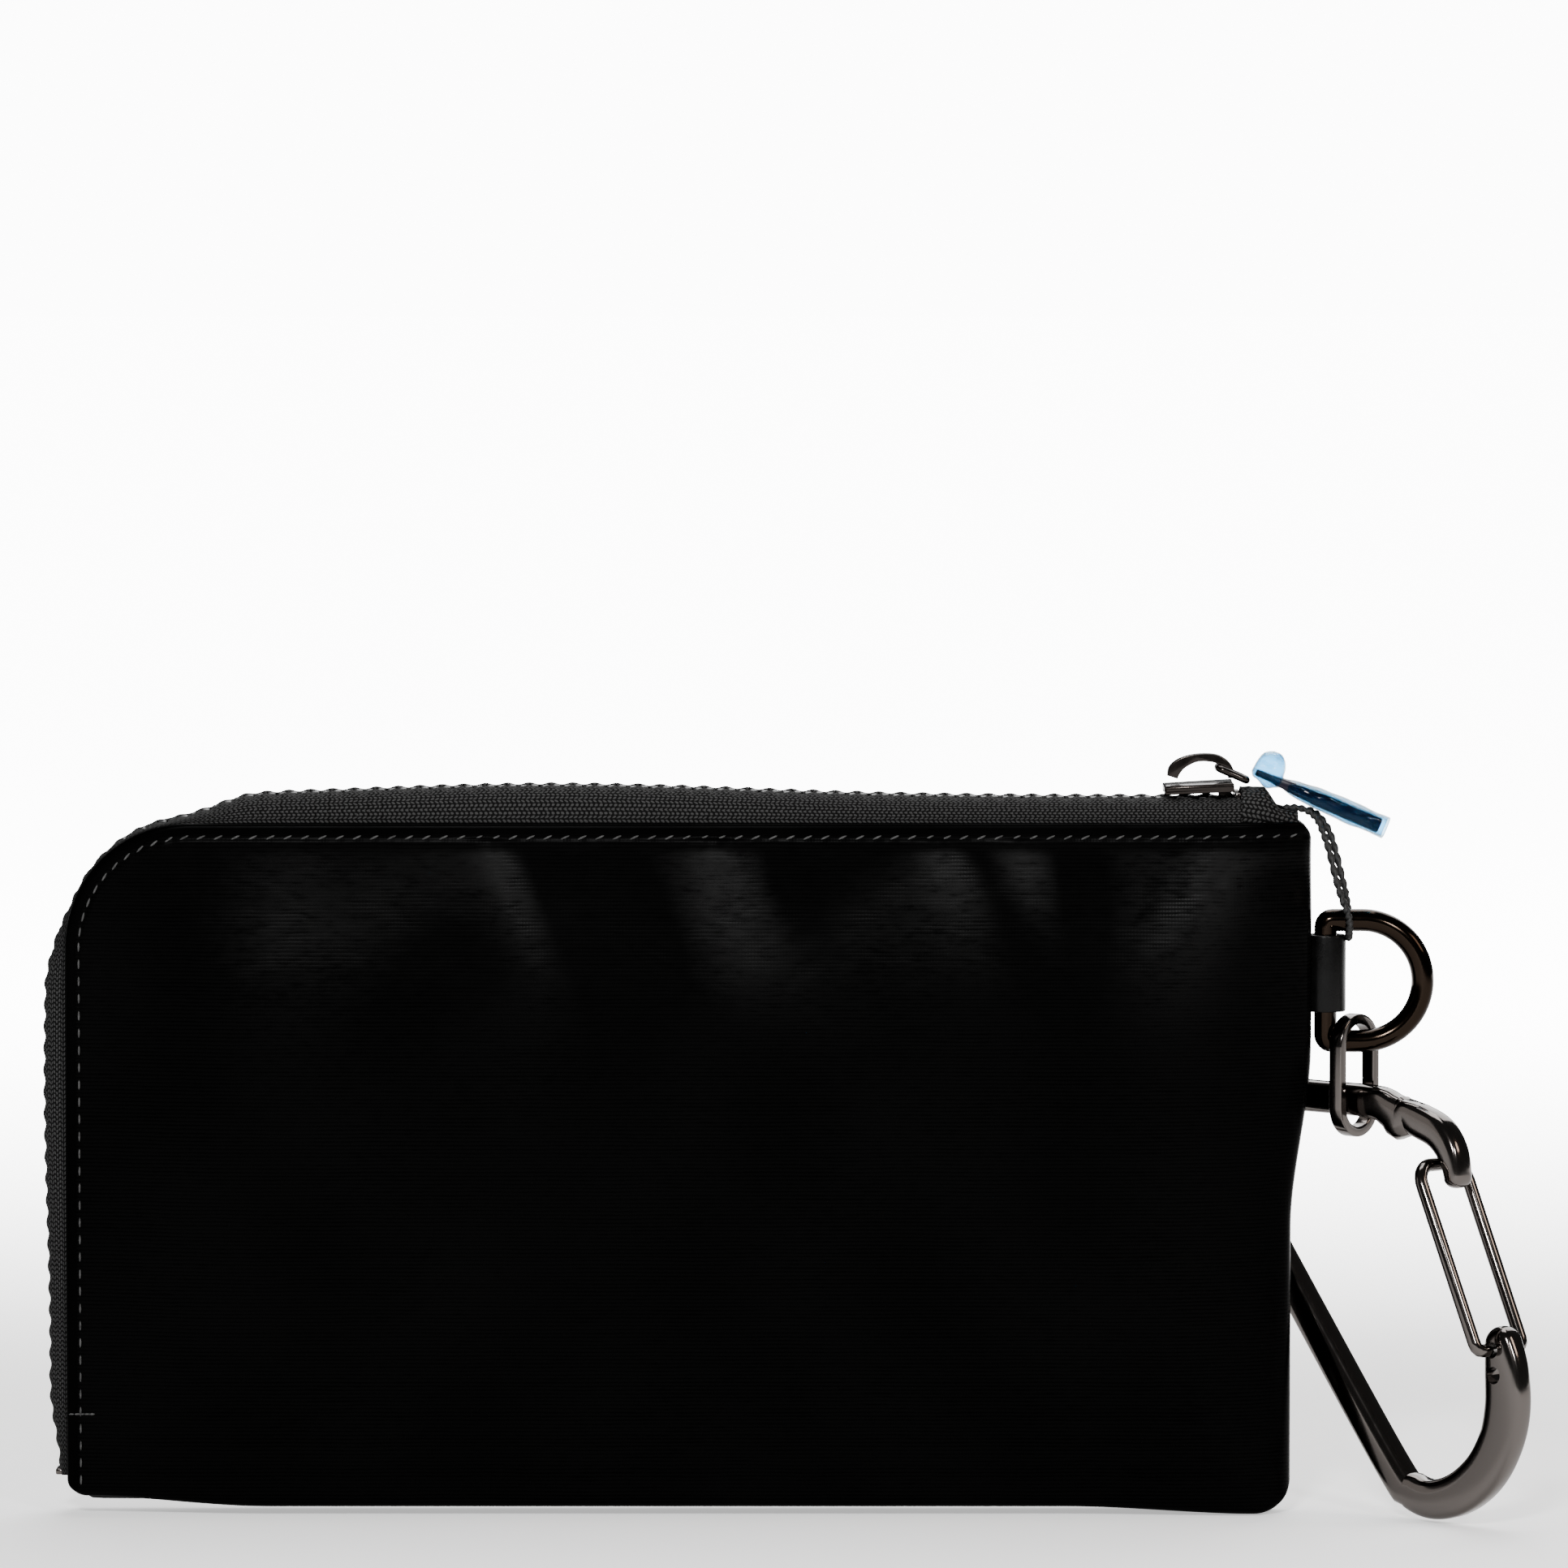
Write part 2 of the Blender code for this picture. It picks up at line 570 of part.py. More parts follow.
def make_bridge(where):
    """The arch over the slider that the puller's eye goes round."""
    foot = PLATE_TOP + GAP + BRIDGE_THICK / 2
    axis_x, axis_z = PULLER_AXIS.x, PULLER_AXIS.z
    knots = (
        (axis_x - 0.0090, 0, axis_z - 0.0005),
        (axis_x - 0.0082, 0, axis_z + 0.0008),
        (axis_x - 0.0052, 0, axis_z + 0.0022),
        (axis_x - 0.0020, 0, axis_z + 0.0022),
        (axis_x - 0.0004, 0, axis_z + 0.0010),
        (axis_x, 0, axis_z),
        (axis_x + 0.0002, 0, foot),
    )
    path = smooth_path(knots, 3)
    outline = []
    for side in (1, -1):
        order = range(len(path)) if side > 0 else reversed(range(len(path)))
        for i in order:
            heading = path[min(i + 1, len(path) - 1)] - path[max(i - 1, 0)]
            heading.normalize()
            across = Vector((-heading.z, 0.0, heading.x)) * (side * BRIDGE_THICK / 2)
            outline.append(((path[i] + across).x, (path[i] + across).z))
    obj = plate("slider_bridge", [outline], BRIDGE_HALF_WIDTH, 0.0002, where, BLACK_NICKEL)
    obj.matrix_world = upright(0.0, 0.0)


def make_puller(where, helpers):
    """Eye, bar and the film sleeve on the bar, in the puller's own frame, then drooped."""
    droop = Matrix.Translation(PULLER_AXIS) @ Matrix.Rotation(PULLER_DROOP, 4, "Y")
    corner = PULLER_CORNER_R
    w, back, front = EYE_HALF_WIDTH, EYE_BACK, EYE_FRONT
    loop = []
    for centre, start in (
        ((front - corner, w - corner), 0),
        ((-back + corner, w - corner), 90),
        ((-back + corner, -w + corner), 180),
        ((front - corner, -w + corner), 270),
    ):
        loop += [(x, y, 0.0) for x, y in arc(centre, corner, start, start + 90, 3)]
    eye = wire("puller_eye", loop, PULLER_WIRE_R, where, BLACK_NICKEL, cyclic=True)
    bar = box(
        "puller_bar",
        (BAR_START, -BAR_HALF_WIDTH, BAR_LIFT - BAR_HALF_THICK),
        (BAR_END, BAR_HALF_WIDTH, BAR_LIFT + BAR_HALF_THICK),
        where,
        BLACK_NICKEL,
        bevel=BAR_BEVEL,
    )
    play = WRAP_GAP
    outer_y, outer_z = BAR_HALF_WIDTH + play + FILM_WALL, BAR_HALF_THICK + play + FILM_WALL
    film = box(
        "puller_film",
        (FILM_START, -outer_y, BAR_LIFT - outer_z),
        (FILM_END, outer_y, BAR_LIFT + outer_z),
        where,
        BLUE_FILM,
    )
    knot = bmesh.new()
    bmesh.ops.create_uvsphere(knot, u_segments=12, v_segments=8, radius=1.0)
    bmesh.ops.scale(knot, vec=KNOT_R, verts=knot.verts)
    bmesh.ops.translate(knot, vec=(BAR_START + KNOT_R.x * KNOT_START, 0, BAR_LIFT + KNOT_LIFT), verts=knot.verts)
    bulge = helper("film_knot", knot, helpers)
    room = helper(
        "film_room",
        box_bmesh(
            (BAR_START - 0.002, -BAR_HALF_WIDTH - play, BAR_LIFT - BAR_HALF_THICK - play),
            (FILM_END + 0.001, BAR_HALF_WIDTH + play, BAR_LIFT + BAR_HALF_THICK + play),
        ),
        helpers,
    )
    boolean(film, bulge, "UNION")
    boolean(film, room, "DIFFERENCE")
    for obj in (eye, bar, film, bulge, room):
        obj.matrix_world = droop


def ring_path():
    """The D-ring's wire, from the foot of its bar round to the top."""
    bar_x, bow_x = RING_BAR_X, RING_BAR_X + RING_STUB
    corner = RING_CORNER_R
    low, high = RING_Z - RING_R, RING_Z + RING_R
    flat = arc((bar_x + corner, low + corner), corner, 180, 270, 2)
    flat += arc((bow_x, RING_Z), RING_R, -90, 90, 20)
    flat += arc((bar_x + corner, high - corner), corner, 90, 180, 2)
    return [(x, 0.0, z) for x, z in flat]


def make_ring(where):
    wire("d_ring", ring_path(), RING_WIRE_R, where, DARK_BRONZE, cyclic=True)


def make_tab(where):
    """The leather strap folded round the ring's bar, its plies sewn into the side seam."""
    inner = RING_WIRE_R + GAP
    outer = inner + TAB_PLY
    half = TAB_PLY
    meet = math.degrees(math.asin(half / outer))
    outline = arc((RING_BAR_X, 0.0), outer, -180 + meet, 180 - meet, 20)
    end = RIGHT_X - TAB_IN_SEAM
    outline += [(end, half), (end, -half)]
    hole = arc((RING_BAR_X, 0.0), inner, 0, 345, 23)
    tab = plate("ring_tab", [outline, hole], (TAB_HIGH_Z - TAB_LOW_Z) / 2, 0.0002, where, SMOOTH_LEATHER)
    tab.location = (0.0, 0.0, (TAB_LOW_Z + TAB_HIGH_Z) / 2)


def oval(half_width, low, high, count=10):
    """A stadium outline, half_width wide each way, between two heights."""
    top = arc((0.0, high - half_width), half_width, 0, 180, count)
    return top + arc((0.0, low + half_width), half_width, 180, 360, count)


def make_link(where):
    centre = LINK_HALF_WIDTH
    outer = oval(centre + LINK_WALL / 2, LINK_LOW_Z, LINK_HIGH_Z)
    inner = oval(centre - LINK_WALL / 2, LINK_LOW_Z + LINK_WALL, LINK_HIGH_Z - LINK_WALL)
    link = plate("oval_link", [outer, inner], LINK_HALF_THICK, 0.0003, where, BLACK_NICKEL)
    link.matrix_world = upright(LINK_X, LINK_TURN - math.pi / 2)


def carabiner_outline():
    """The body's outline in its own plane, from its centre line and its half widths."""
    knots = (
        # along, up, half width
        (0.0209, 0.0506, 0.0014),
        (0.0208, 0.0530, 0.0017),
        (0.0197, 0.0562, 0.0022),
        (0.0172, 0.0588, 0.0025),
        (0.0130, 0.0604, 0.0025),
        (0.0080, 0.0615, 0.0030),
        (0.0045, 0.0624, 0.0025),
        (-0.0060, 0.0625, 0.0024),
        (-0.0225, 0.0622, 0.0025),
        (-0.0275, 0.0604, 0.0026),
        (-0.0292, 0.0570, 0.0026),
        (-0.0262, 0.0520, 0.0025),
        (-0.0083, 0.0287, 0.0025),
        (0.0088, 0.0070, 0.0026),
        (0.0125, 0.0042, 0.0028),
        (0.0170, 0.0034, 0.0030),
        (0.0222, 0.0050, 0.0033),
        (0.0268, 0.0086, 0.0035),
        (0.0298, 0.0135, 0.0036),
        (0.0310, 0.0185, 0.0037),
        (0.0308, 0.0240, 0.0036),
        (0.0300, 0.0285, 0.0026),
    )
    path = smooth_path(knots, 3)
    sides = {1: [], -1: []}
    for i, point in enumerate(path):
        heading = path[min(i + 1, len(path) - 1)] - path[max(i - 1, 0)]
        heading.z = 0.0
        heading.normalize()
        across = Vector((-heading.y, heading.x, 0.0)) * point.z
        for side, points in sides.items():
            points.append(((point + side * across).x, (point + side * across).y))
    return sides[1] + sides[-1][::-1]


def make_carabiner(where, helpers):
    """The body: its outline, thickened, with the gate's bore through the lower end."""
    frame = upright(LINK_X, CARABINER_TURN, CARABINER_FOOT_Z)
    bm = bmesh.new()
    face = bm.faces.new([bm.verts.new((x, y, -CARABINER_HALF_THICK)) for x, y in carabiner_outline()])
    raised = bmesh.ops.extrude_face_region(bm, geom=[face])
    top = [v for v in raised["geom"] if isinstance(v, bmesh.types.BMVert)]
    bmesh.ops.translate(bm, vec=(0, 0, 2 * CARABINER_HALF_THICK), verts=top)
    body = from_bmesh("carabiner_body", bm, where, BLACK_NICKEL)
    body.matrix_world = frame
    edge = body.modifiers.new("round", "BEVEL")
    edge.width = CARABINER_ROUND
    edge.segments = 2
    edge.limit_method = "ANGLE"
    edge.angle_limit = math.radians(50)
    drill = bmesh.new()
    bmesh.ops.create_cone(
        drill,
        cap_ends=True,
        segments=16,
        radius1=GATE_WIRE_R + GAP,
        radius2=GATE_WIRE_R + GAP,
        depth=4 * CARABINER_HALF_THICK,
        matrix=Matrix.Translation((*GATE_PIVOT, 0.0)),
    )
    bore = helper("gate_bore", drill, helpers)
    bore.matrix_world = frame
    boolean(body, bore, "DIFFERENCE")


def make_gate(where):
    """The sprung wire gate: both ends in the bore, the loop's top lying under the nose."""
    frame = upright(LINK_X, CARABINER_TURN, CARABINER_FOOT_Z)
    half = GATE_HALF_WIDTH
    foot, top = Vector((*GATE_PIVOT, 0.0)), Vector((*GATE_TOP, 0.0))
    heading = (top - foot).normalized()
    bend, shoulder = 0.0012, 0.0030
    side = []
    end = 2 * GAP
    side.append(foot + Vector((0, 0, end)))
    side.append(foot + Vector((0, 0, half - bend)))
    side.append(foot + Vector((0, 0, half - bend * 0.3)) + heading * bend * 0.3)
    side.append(foot + Vector((0, 0, half)) + heading * bend)
    for angle in (0, 30, 60, 90):
        turn = math.radians(angle)
        side.append(
            top
            - heading * shoulder * (1 - math.sin(turn))
            + Vector((0, 0, half - shoulder * (1 - math.cos(turn))))
        )
    mirrored = [Vector((p.x, p.y, -p.z)) for p in reversed(side)]
    gate = wire("carabiner_gate", side + mirrored, GATE_WIRE_R, where, BLACK_NICKEL, sides=3)
    gate.matrix_world = frame


def make_tag_cord(where):
    """A limp cord looped through the ring's top, both ends tucked over the zip's end."""
    knots = (
        (0.0960, -0.0008, 0.1046),
        (0.0969, -0.0007, 0.1028),
        (0.0978, -0.0007, 0.1001),
        (0.0987, -0.0008, 0.0964),
        (0.0996, -0.0016, 0.0933),
        (0.1005, -0.0026, 0.0910),
        (0.1008, -0.0027, 0.0893),
        (0.1008, -0.0019, 0.0877),
        (0.1008, 0.0000, 0.0870),
        (0.1009, 0.0019, 0.0877),
        (0.1010, 0.0027, 0.0893),
        (0.1008, 0.0024, 0.0912),
        (0.1000, 0.0014, 0.0935),
        (0.0990, 0.0006, 0.0964),
        (0.0981, 0.0007, 0.1001),
        (0.0972, 0.0007, 0.1030),
        (0.0962, 0.0008, 0.1048),
    )
    wire("tag_cord", smooth_path(knots, 2), CORD_R, where, CORD_YARN)


def main():
    clear_scene()
    where = collection("zippered_pouch")
    helpers = collection("cutters", hidden=True)
    line = ZipLine()
    make_shell(where)
    for end, side in (("rear", -1), ("front", 1)):
        make_tape(f"{end}_zip_tape", side, line, where)
        make_teeth(f"{end}_teeth", side, line, where)
        make_topstitch(f"{end}_topstitch", side, line, where)
    make_stops(line, where)
    make_end_tab(where)
    make_slider(where, helpers)
    make_bridge(where)
    make_puller(where, helpers)
    make_tab(where)
    make_ring(where)
    make_link(where)
    make_carabiner(where, helpers)
    make_gate(where)
    make_tag_cord(where)


main()
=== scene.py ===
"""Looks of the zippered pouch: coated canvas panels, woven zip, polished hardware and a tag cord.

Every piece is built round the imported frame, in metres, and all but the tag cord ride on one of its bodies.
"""

import json
import logging
import math
from bisect import bisect_right
from collections.abc import Callable, Sequence
from dataclasses import dataclass, field
from enum import Enum

import bmesh
import bpy
from mathutils import Matrix, Vector, noise


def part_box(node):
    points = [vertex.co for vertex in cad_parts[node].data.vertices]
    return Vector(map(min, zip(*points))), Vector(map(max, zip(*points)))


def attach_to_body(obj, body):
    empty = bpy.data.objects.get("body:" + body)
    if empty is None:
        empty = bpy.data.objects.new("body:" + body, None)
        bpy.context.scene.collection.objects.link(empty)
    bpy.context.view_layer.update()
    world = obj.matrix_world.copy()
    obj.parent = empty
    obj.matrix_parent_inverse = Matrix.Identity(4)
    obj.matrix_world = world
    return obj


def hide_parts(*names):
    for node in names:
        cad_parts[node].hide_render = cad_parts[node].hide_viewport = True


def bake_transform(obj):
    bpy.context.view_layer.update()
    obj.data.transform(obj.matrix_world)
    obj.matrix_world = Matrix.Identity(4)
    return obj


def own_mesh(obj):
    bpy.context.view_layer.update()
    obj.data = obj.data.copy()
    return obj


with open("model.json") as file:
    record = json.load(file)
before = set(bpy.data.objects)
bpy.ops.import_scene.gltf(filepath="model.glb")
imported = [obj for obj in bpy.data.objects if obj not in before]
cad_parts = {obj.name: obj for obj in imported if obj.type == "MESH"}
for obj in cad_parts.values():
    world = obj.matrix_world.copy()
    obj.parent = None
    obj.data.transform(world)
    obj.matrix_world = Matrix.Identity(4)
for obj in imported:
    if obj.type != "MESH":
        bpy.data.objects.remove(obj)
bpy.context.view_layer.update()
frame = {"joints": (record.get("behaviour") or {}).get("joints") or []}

LOG = logging.getLogger("pouch")
MM = 0.001
Colour = tuple[float, float, float]
Outline = list[tuple[float, float]]


class Side(Enum):
    """The two halves of the pouch; the plain rear faces -Y."""

    REAR = -1
    FRONT = 1

    @property
    def label(self) -> str:
        """The word that piece names start with."""
        return self.name.lower()


# --- small mathematics ---------------------------------------------------------------------


def clamp(value: float, low: float = 0.0, high: float = 1.0) -> float:
    """The value kept between low and high."""
    return min(max(value, low), high)


def ease(t: float) -> float:
    """Smooth step from 0 to 1."""
    t = clamp(t)
    return t * t * (3 - 2 * t)


def bow(t: float) -> float:
    """Quarter ellipse from 0 to 1, steep at the start."""
    return math.sqrt(1 - (1 - clamp(t)) ** 2)


def bell(t: float) -> float:
    """A bell curve of height 1 and unit width."""
    return math.exp(-t * t)


def smooth_path(knots: Sequence[Sequence[float]], per_span: int) -> list[Vector]:
    """Catmull-Rom points through the knots.

    Args:
        knots: The points that the path passes through.
        per_span: How many points each span is cut into.

    Returns:
        The points, the first and last knot included.
    """
    points = [Vector(k) for k in knots]
    ends = [2 * points[0] - points[1], *points, 2 * points[-1] - points[-2]]
    found = []
    for a, b, c, d in zip(ends, ends[1:], ends[2:], ends[3:]):
        for i in range(per_span):
            t = i / per_span
            bend = (2 * a - 5 * b + 4 * c - d) * t * t + (3 * b - a - 3 * c + d) * t**3
            found.append(0.5 * (2 * b + (c - a) * t + bend))
    return found + [points[-1]]


def arc(centre: tuple[float, float], radius: float, start: float, end: float, count: int) -> Outline:
    """Points of an arc in a plane, both ends included.

    Args:
        centre: The arc's centre.
        radius: Its radius in metres.
        start: The angle that it starts at, in degrees.
        end: The angle that it ends at, in degrees.
        count: How many steps it takes.

    Returns:
        The points.
    """
    angles = [math.radians(start + (end - start) * i / count) for i in range(count + 1)]
    return [(centre[0] + radius * math.cos(a), centre[1] + radius * math.sin(a)) for a in angles]


def crowded(t: float, near_start: tuple[float, float], near_end: tuple[float, float]) -> float:
    """Spreads even steps so that both ends get more of them.

    Args:
        t: The even share, 0 to 1.
        near_start: The share of the steps at the start, and of the length that they cover.
        near_end: The same at the end.

    Returns:
        The share of the length.
    """
    steps_a, length_a = near_start
    steps_b, length_b = near_end
    if t < steps_a:
        return length_a * t / steps_a
    if t > 1 - steps_b:
        return 1 - length_b * (1 - t) / steps_b
    return length_a + (1 - length_a - length_b) * (t - steps_a) / (1 - steps_a - steps_b)


# --- materials -------------------------------------------------------------------------------


class Recipe:
    """Adds nodes to one material round its Principled shader."""

    def __init__(self, name: str) -> None:
        """Starts the material called name."""
        self.material = bpy.data.materials.new(name)
        self.material.use_nodes = True
        self.tree = self.material.node_tree
        self.shader = self.tree.nodes["Principled BSDF"]

    def set(self, **values: float | Colour) -> None:
        """Sets the shader's own sockets; an underscore in a name stands for a space."""
        for name, value in values.items():
            socket = self.shader.inputs[name.replace("_", " ")]
            socket.default_value = (*value, 1.0) if isinstance(value, tuple) else value

    def node(self, kind: str, **settings: object) -> bpy.types.Node:
        """A new node with its properties set."""
        made = self.tree.nodes.new("ShaderNode" + kind)
        for name, value in settings.items():
            setattr(made, name, value)
        return made

    def link(self, source: bpy.types.NodeSocket, target: bpy.types.NodeSocket) -> None:
        """Joins two sockets."""
        self.tree.links.new(source, target)

    def feed(self, socket: bpy.types.NodeSocket, value: object) -> None:
        """Links a socket to value, or sets its number."""
        if isinstance(value, bpy.types.NodeSocket):
            self.link(value, socket)
        else:
            socket.default_value = value

    def math(self, operation: str, a: object, b: object = 0.0) -> bpy.types.NodeSocket:
        """The result of a Math node on two values."""
        made = self.node("Math", operation=operation)
        self.feed(made.inputs[0], a)
        self.feed(made.inputs[1], b)
        return made.outputs[0]

    def add(self, a: object, b: object) -> bpy.types.NodeSocket:
        """The sum of two values."""
        return self.math("ADD", a, b)

    def mul(self, a: object, b: object) -> bpy.types.NodeSocket:
        """The product of two values."""
        return self.math("MULTIPLY", a, b)

    def paint(self, socket: str, value: bpy.types.NodeSocket) -> None:
        """Links a value to one of the shader's own sockets."""
        self.link(value, self.shader.inputs[socket])

    def place(self, scale: Colour = (1, 1, 1), uv: bool = False) -> bpy.types.NodeSocket:
        """Object or UV coordinates, stretched by scale."""
        coordinates = self.node("TexCoord")
        mapping = self.node("Mapping")
        self.link(coordinates.outputs["UV" if uv else "Object"], mapping.inputs["Vector"])
        mapping.inputs["Scale"].default_value = scale
        return mapping.outputs[0]

    def axis(self, where: bpy.types.NodeSocket, letter: str) -> bpy.types.NodeSocket:
        """One coordinate of a vector."""
        made = self.node("SeparateXYZ")
        self.link(where, made.inputs[0])
        return made.outputs[letter]

    def noise(self, where: bpy.types.NodeSocket, scale: float, detail: float = 2.0) -> bpy.types.NodeSocket:
        """Cloudy noise, 0 to 1."""
        made = self.node("TexNoise")
        self.link(where, made.inputs["Vector"])
        made.inputs["Scale"].default_value = scale
        made.inputs["Detail"].default_value = detail
        return made.outputs[0]

    def waves(self, along: bpy.types.NodeSocket, pitch: float) -> bpy.types.NodeSocket:
        """A sine of the given pitch, -1 to 1."""
        return self.math("SINE", self.mul(along, math.tau / pitch))

    def ramp(self, value: object, *stops: tuple[float, float | Colour]) -> bpy.types.NodeSocket:
        """A colour ramp through the stops."""
        made = self.node("ValToRGB")
        self.feed(made.inputs[0], value)
        elements = made.color_ramp.elements
        while len(elements) < len(stops):
            elements.new(0.5)
        for element, (at, colour) in zip(elements, stops):
            element.position = at
            element.color = (*colour, 1.0) if isinstance(colour, tuple) else (colour,) * 3 + (1.0,)
        return made.outputs[0]

    def attribute(self, name: str) -> bpy.types.NodeSocket:
        """A number kept on the mesh's points."""
        made = self.node("Attribute", attribute_name=name)
        return made.outputs["Fac"]

    def bump(self, height: bpy.types.NodeSocket, distance: float, strength: float = 1.0) -> None:
        """Bumps the shader's normal by height times distance in metres."""
        made = self.node("Bump")
        made.inputs["Strength"].default_value = strength
        made.inputs["Distance"].default_value = distance
        self.link(height, made.inputs["Height"])
        self.link(made.outputs[0], self.shader.inputs["Normal"])


@dataclass(frozen=True)
class CoatedCanvas:
    """Black coated canvas: a fine crosswise rib, smooth where the edge is turned, with a painted sheen along
    the raised folds and below the zip.
    """

    rib: float = 0.58 * MM
    warp: float = 0.47 * MM
    dark: float = 0.0003
    light: float = 0.0012
    relief: float = 0.05 * MM
    dull: float = 0.006
    shiny: float = 0.11
    smoothest: float = 0.15

    def build(self) -> bpy.types.Material:
        """The material, which reads the mesh's own turned and sheen attributes."""
        r = Recipe("coated_canvas")
        where = r.place()
        wobble = r.mul(r.noise(r.place((0.35, 1, 1)), 260.0), 0.35 * MM)
        ribs = r.waves(r.add(r.axis(where, "Z"), wobble), self.rib)
        drift = r.mul(r.noise(r.place((1, 1, 0.3)), 300.0), 0.4 * MM)
        threads = r.waves(r.add(r.axis(where, "X"), drift), self.warp)
        woven = r.add(r.mul(ribs, 0.6), r.mul(threads, 0.25))
        slubs = r.noise(r.place((0.35, 1, 1)), 1100.0, 3.0)
        cloud = r.noise(where, 70.0, 4.0)
        plain = r.math("SUBTRACT", 1.0, r.attribute("turned"))
        broken = r.ramp(r.noise(r.place((0.3, 1, 1)), 420.0, 3.0), (0.38, 0.25), (0.62, 1.0))
        r.bump(r.mul(r.add(r.mul(woven, broken), slubs), plain), self.relief, 0.20)
        tone = r.add(r.mul(slubs, 0.7), r.mul(cloud, 0.5))
        lit = r.mul(r.mul(tone, r.add(ribs, 1.6)), plain)
        r.paint("Base Color", r.ramp(lit, (0.25, self.dark), (1.3, self.light)))
        rough = r.add(r.mul(cloud, 0.14), r.mul(slubs, 0.16))
        r.paint("Roughness", r.add(rough, self.smoothest))
        # Painted sheen: the specular level rises where the mesh's sheen mask marks the raised folds and the
        # band below the zip.
        patchy = r.mul(r.add(cloud, 0.4), r.add(slubs, 0.1))
        gloss = r.mul(r.mul(patchy, 0.5), r.add(r.mul(ribs, broken), 3.4))
        painted_sheen = r.mul(r.ramp(gloss, (0.25, 0.0), (0.85, self.shiny)), r.attribute("sheen"))
        r.paint("Specular IOR Level", r.add(painted_sheen, self.dull))
        return r.material


@dataclass(frozen=True)
class WovenTape:
    """Charcoal herringbone zip tape."""

    pitch: float = 0.72 * MM
    stripe: float = 1.5 * MM
    dark: float = 0.0008
    light: float = 0.036
    pick: float = 0.62 * MM
    lean: float = 0.45 * MM
    relief: float = 0.12 * MM

    def build(self) -> bpy.types.Material:
        """The material, on the tape's own UV map in metres."""
        r = Recipe("woven_tape")
        r.set(Roughness=0.8, Specular_IOR_Level=0.08)
        where = r.place(uv=True)
        along, across = r.axis(where, "X"), r.axis(where, "Y")
        lean = r.mul(r.math("ABSOLUTE", r.waves(across, 2 * self.stripe)), self.lean)
        yarns = r.waves(r.add(along, lean), self.pitch)
        picks = r.waves(across, self.pick)
        fuzz = r.noise(where, 1700.0, 4.0)
        weave = r.mul(r.add(yarns, 1.0), r.add(picks, 1.15))
        height = r.add(r.mul(weave, 0.26), fuzz)
        r.bump(height, self.relief, 0.9)
        r.paint("Base Color", r.ramp(height, (0.66, self.dark), (1.12, self.light)))
        return r.material


@dataclass(frozen=True)
class Polished:
    """Plated metal with faint wiping marks and soft dents."""

    name: str
    colour: Colour
    roughness: float = 0.12
    mark: float = 0.10
    dent: float = 0.02 * MM

    def build(self) -> bpy.types.Material:
        """The metal's material."""
        r = Recipe(self.name)
        r.set(Metallic=1.0, Base_Color=self.colour)
        where = r.place()
        wipe = r.noise(r.place((1, 1, 0.25)), 900.0, 4.0)
        r.paint("Roughness", r.add(r.mul(wipe, self.mark), self.roughness - self.mark / 2))
        r.bump(r.noise(where, 160.0, 1.0), self.dent, 0.25)
        return r.material


@dataclass(frozen=True)
class SmoothLeather:
    """Black strap leather with a fine grain."""

    dark: float = 0.0008
    light: float = 0.002
    cells: float = 2200.0

    def build(self) -> bpy.types.Material:
        """The leather's material."""
        r = Recipe("strap_leather")
        r.set(Specular_IOR_Level=0.12)
        where = r.place()
        cells = r.node("TexVoronoi", feature="DISTANCE_TO_EDGE")
        r.link(where, cells.inputs["Vector"])
        cells.inputs["Scale"].default_value = self.cells
        cloud = r.noise(where, 400.0, 3.0)
        r.bump(r.add(cells.outputs["Distance"], cloud), 0.04 * MM, 0.5)
        r.paint("Base Color", r.ramp(cloud, (0.3, self.dark), (0.8, self.light)))
        r.paint("Roughness", r.add(r.mul(cloud, 0.2), 0.2))
        return r.material


@dataclass(frozen=True)
class Yarn:
    """Twisted thread or cord, lighter on its crowns."""

    name: str
    dark: float
    light: float
    scale: float = 1800.0

    def build(self) -> bpy.types.Material:
        """The yarn's material."""
        r = Recipe(self.name)
        r.set(Roughness=0.6, Specular_IOR_Level=0.3)
        fibre = r.noise(r.place(), self.scale, 3.0)
        r.bump(fibre, 0.06 * MM, 0.7)
        r.paint("Base Color", r.ramp(fibre, (0.3, self.dark), (0.7, self.light)))
        return r.material


@dataclass(frozen=True)
class Moulded:
    """Black moulded plastic or plain lining cloth, by its roughness."""

    name: str
    tone: float
    roughness: float
    grain: float
    depth: float = 0.02 * MM

    def build(self) -> bpy.types.Material:
        """The material."""
        r = Recipe(self.name)
        r.set(Roughness=self.roughness, Specular_IOR_Level=0.3)
        spots = r.noise(r.place(), self.grain, 3.0)
        r.bump(spots, self.depth, 0.6)
        r.paint("Base Color", r.ramp(spots, (0.3, self.tone * 0.7), (0.7, self.tone * 1.3)))
        return r.material


@dataclass(frozen=True)
class Lacquer:
    """The bar's deep violet lacquer."""

    colour: Colour = (0.0032, 0.0022, 0.009)

    def build(self) -> bpy.types.Material:
        """The lacquer's material."""
        r = Recipe("violet_lacquer")
        r.set(Base_Color=self.colour, Roughness=0.25, Specular_IOR_Level=0.2)
        return r.material


@dataclass(frozen=True)
class ClearFilm:
    """Pale blue protective film, creased."""

    tint: Colour = (0.16, 0.62, 1.0)
    crinkle: float = 0.12 * MM

    def build(self) -> bpy.types.Material:
        """The film's material."""
        r = Recipe("blue_film")
        r.set(Base_Color=self.tint, Roughness=0.06, IOR=1.18, Transmission_Weight=1.0, Alpha=0.7)
        r.bump(r.noise(r.place((0.4, 1, 1)), 900.0, 3.0), self.crinkle, 0.8)
        return r.material


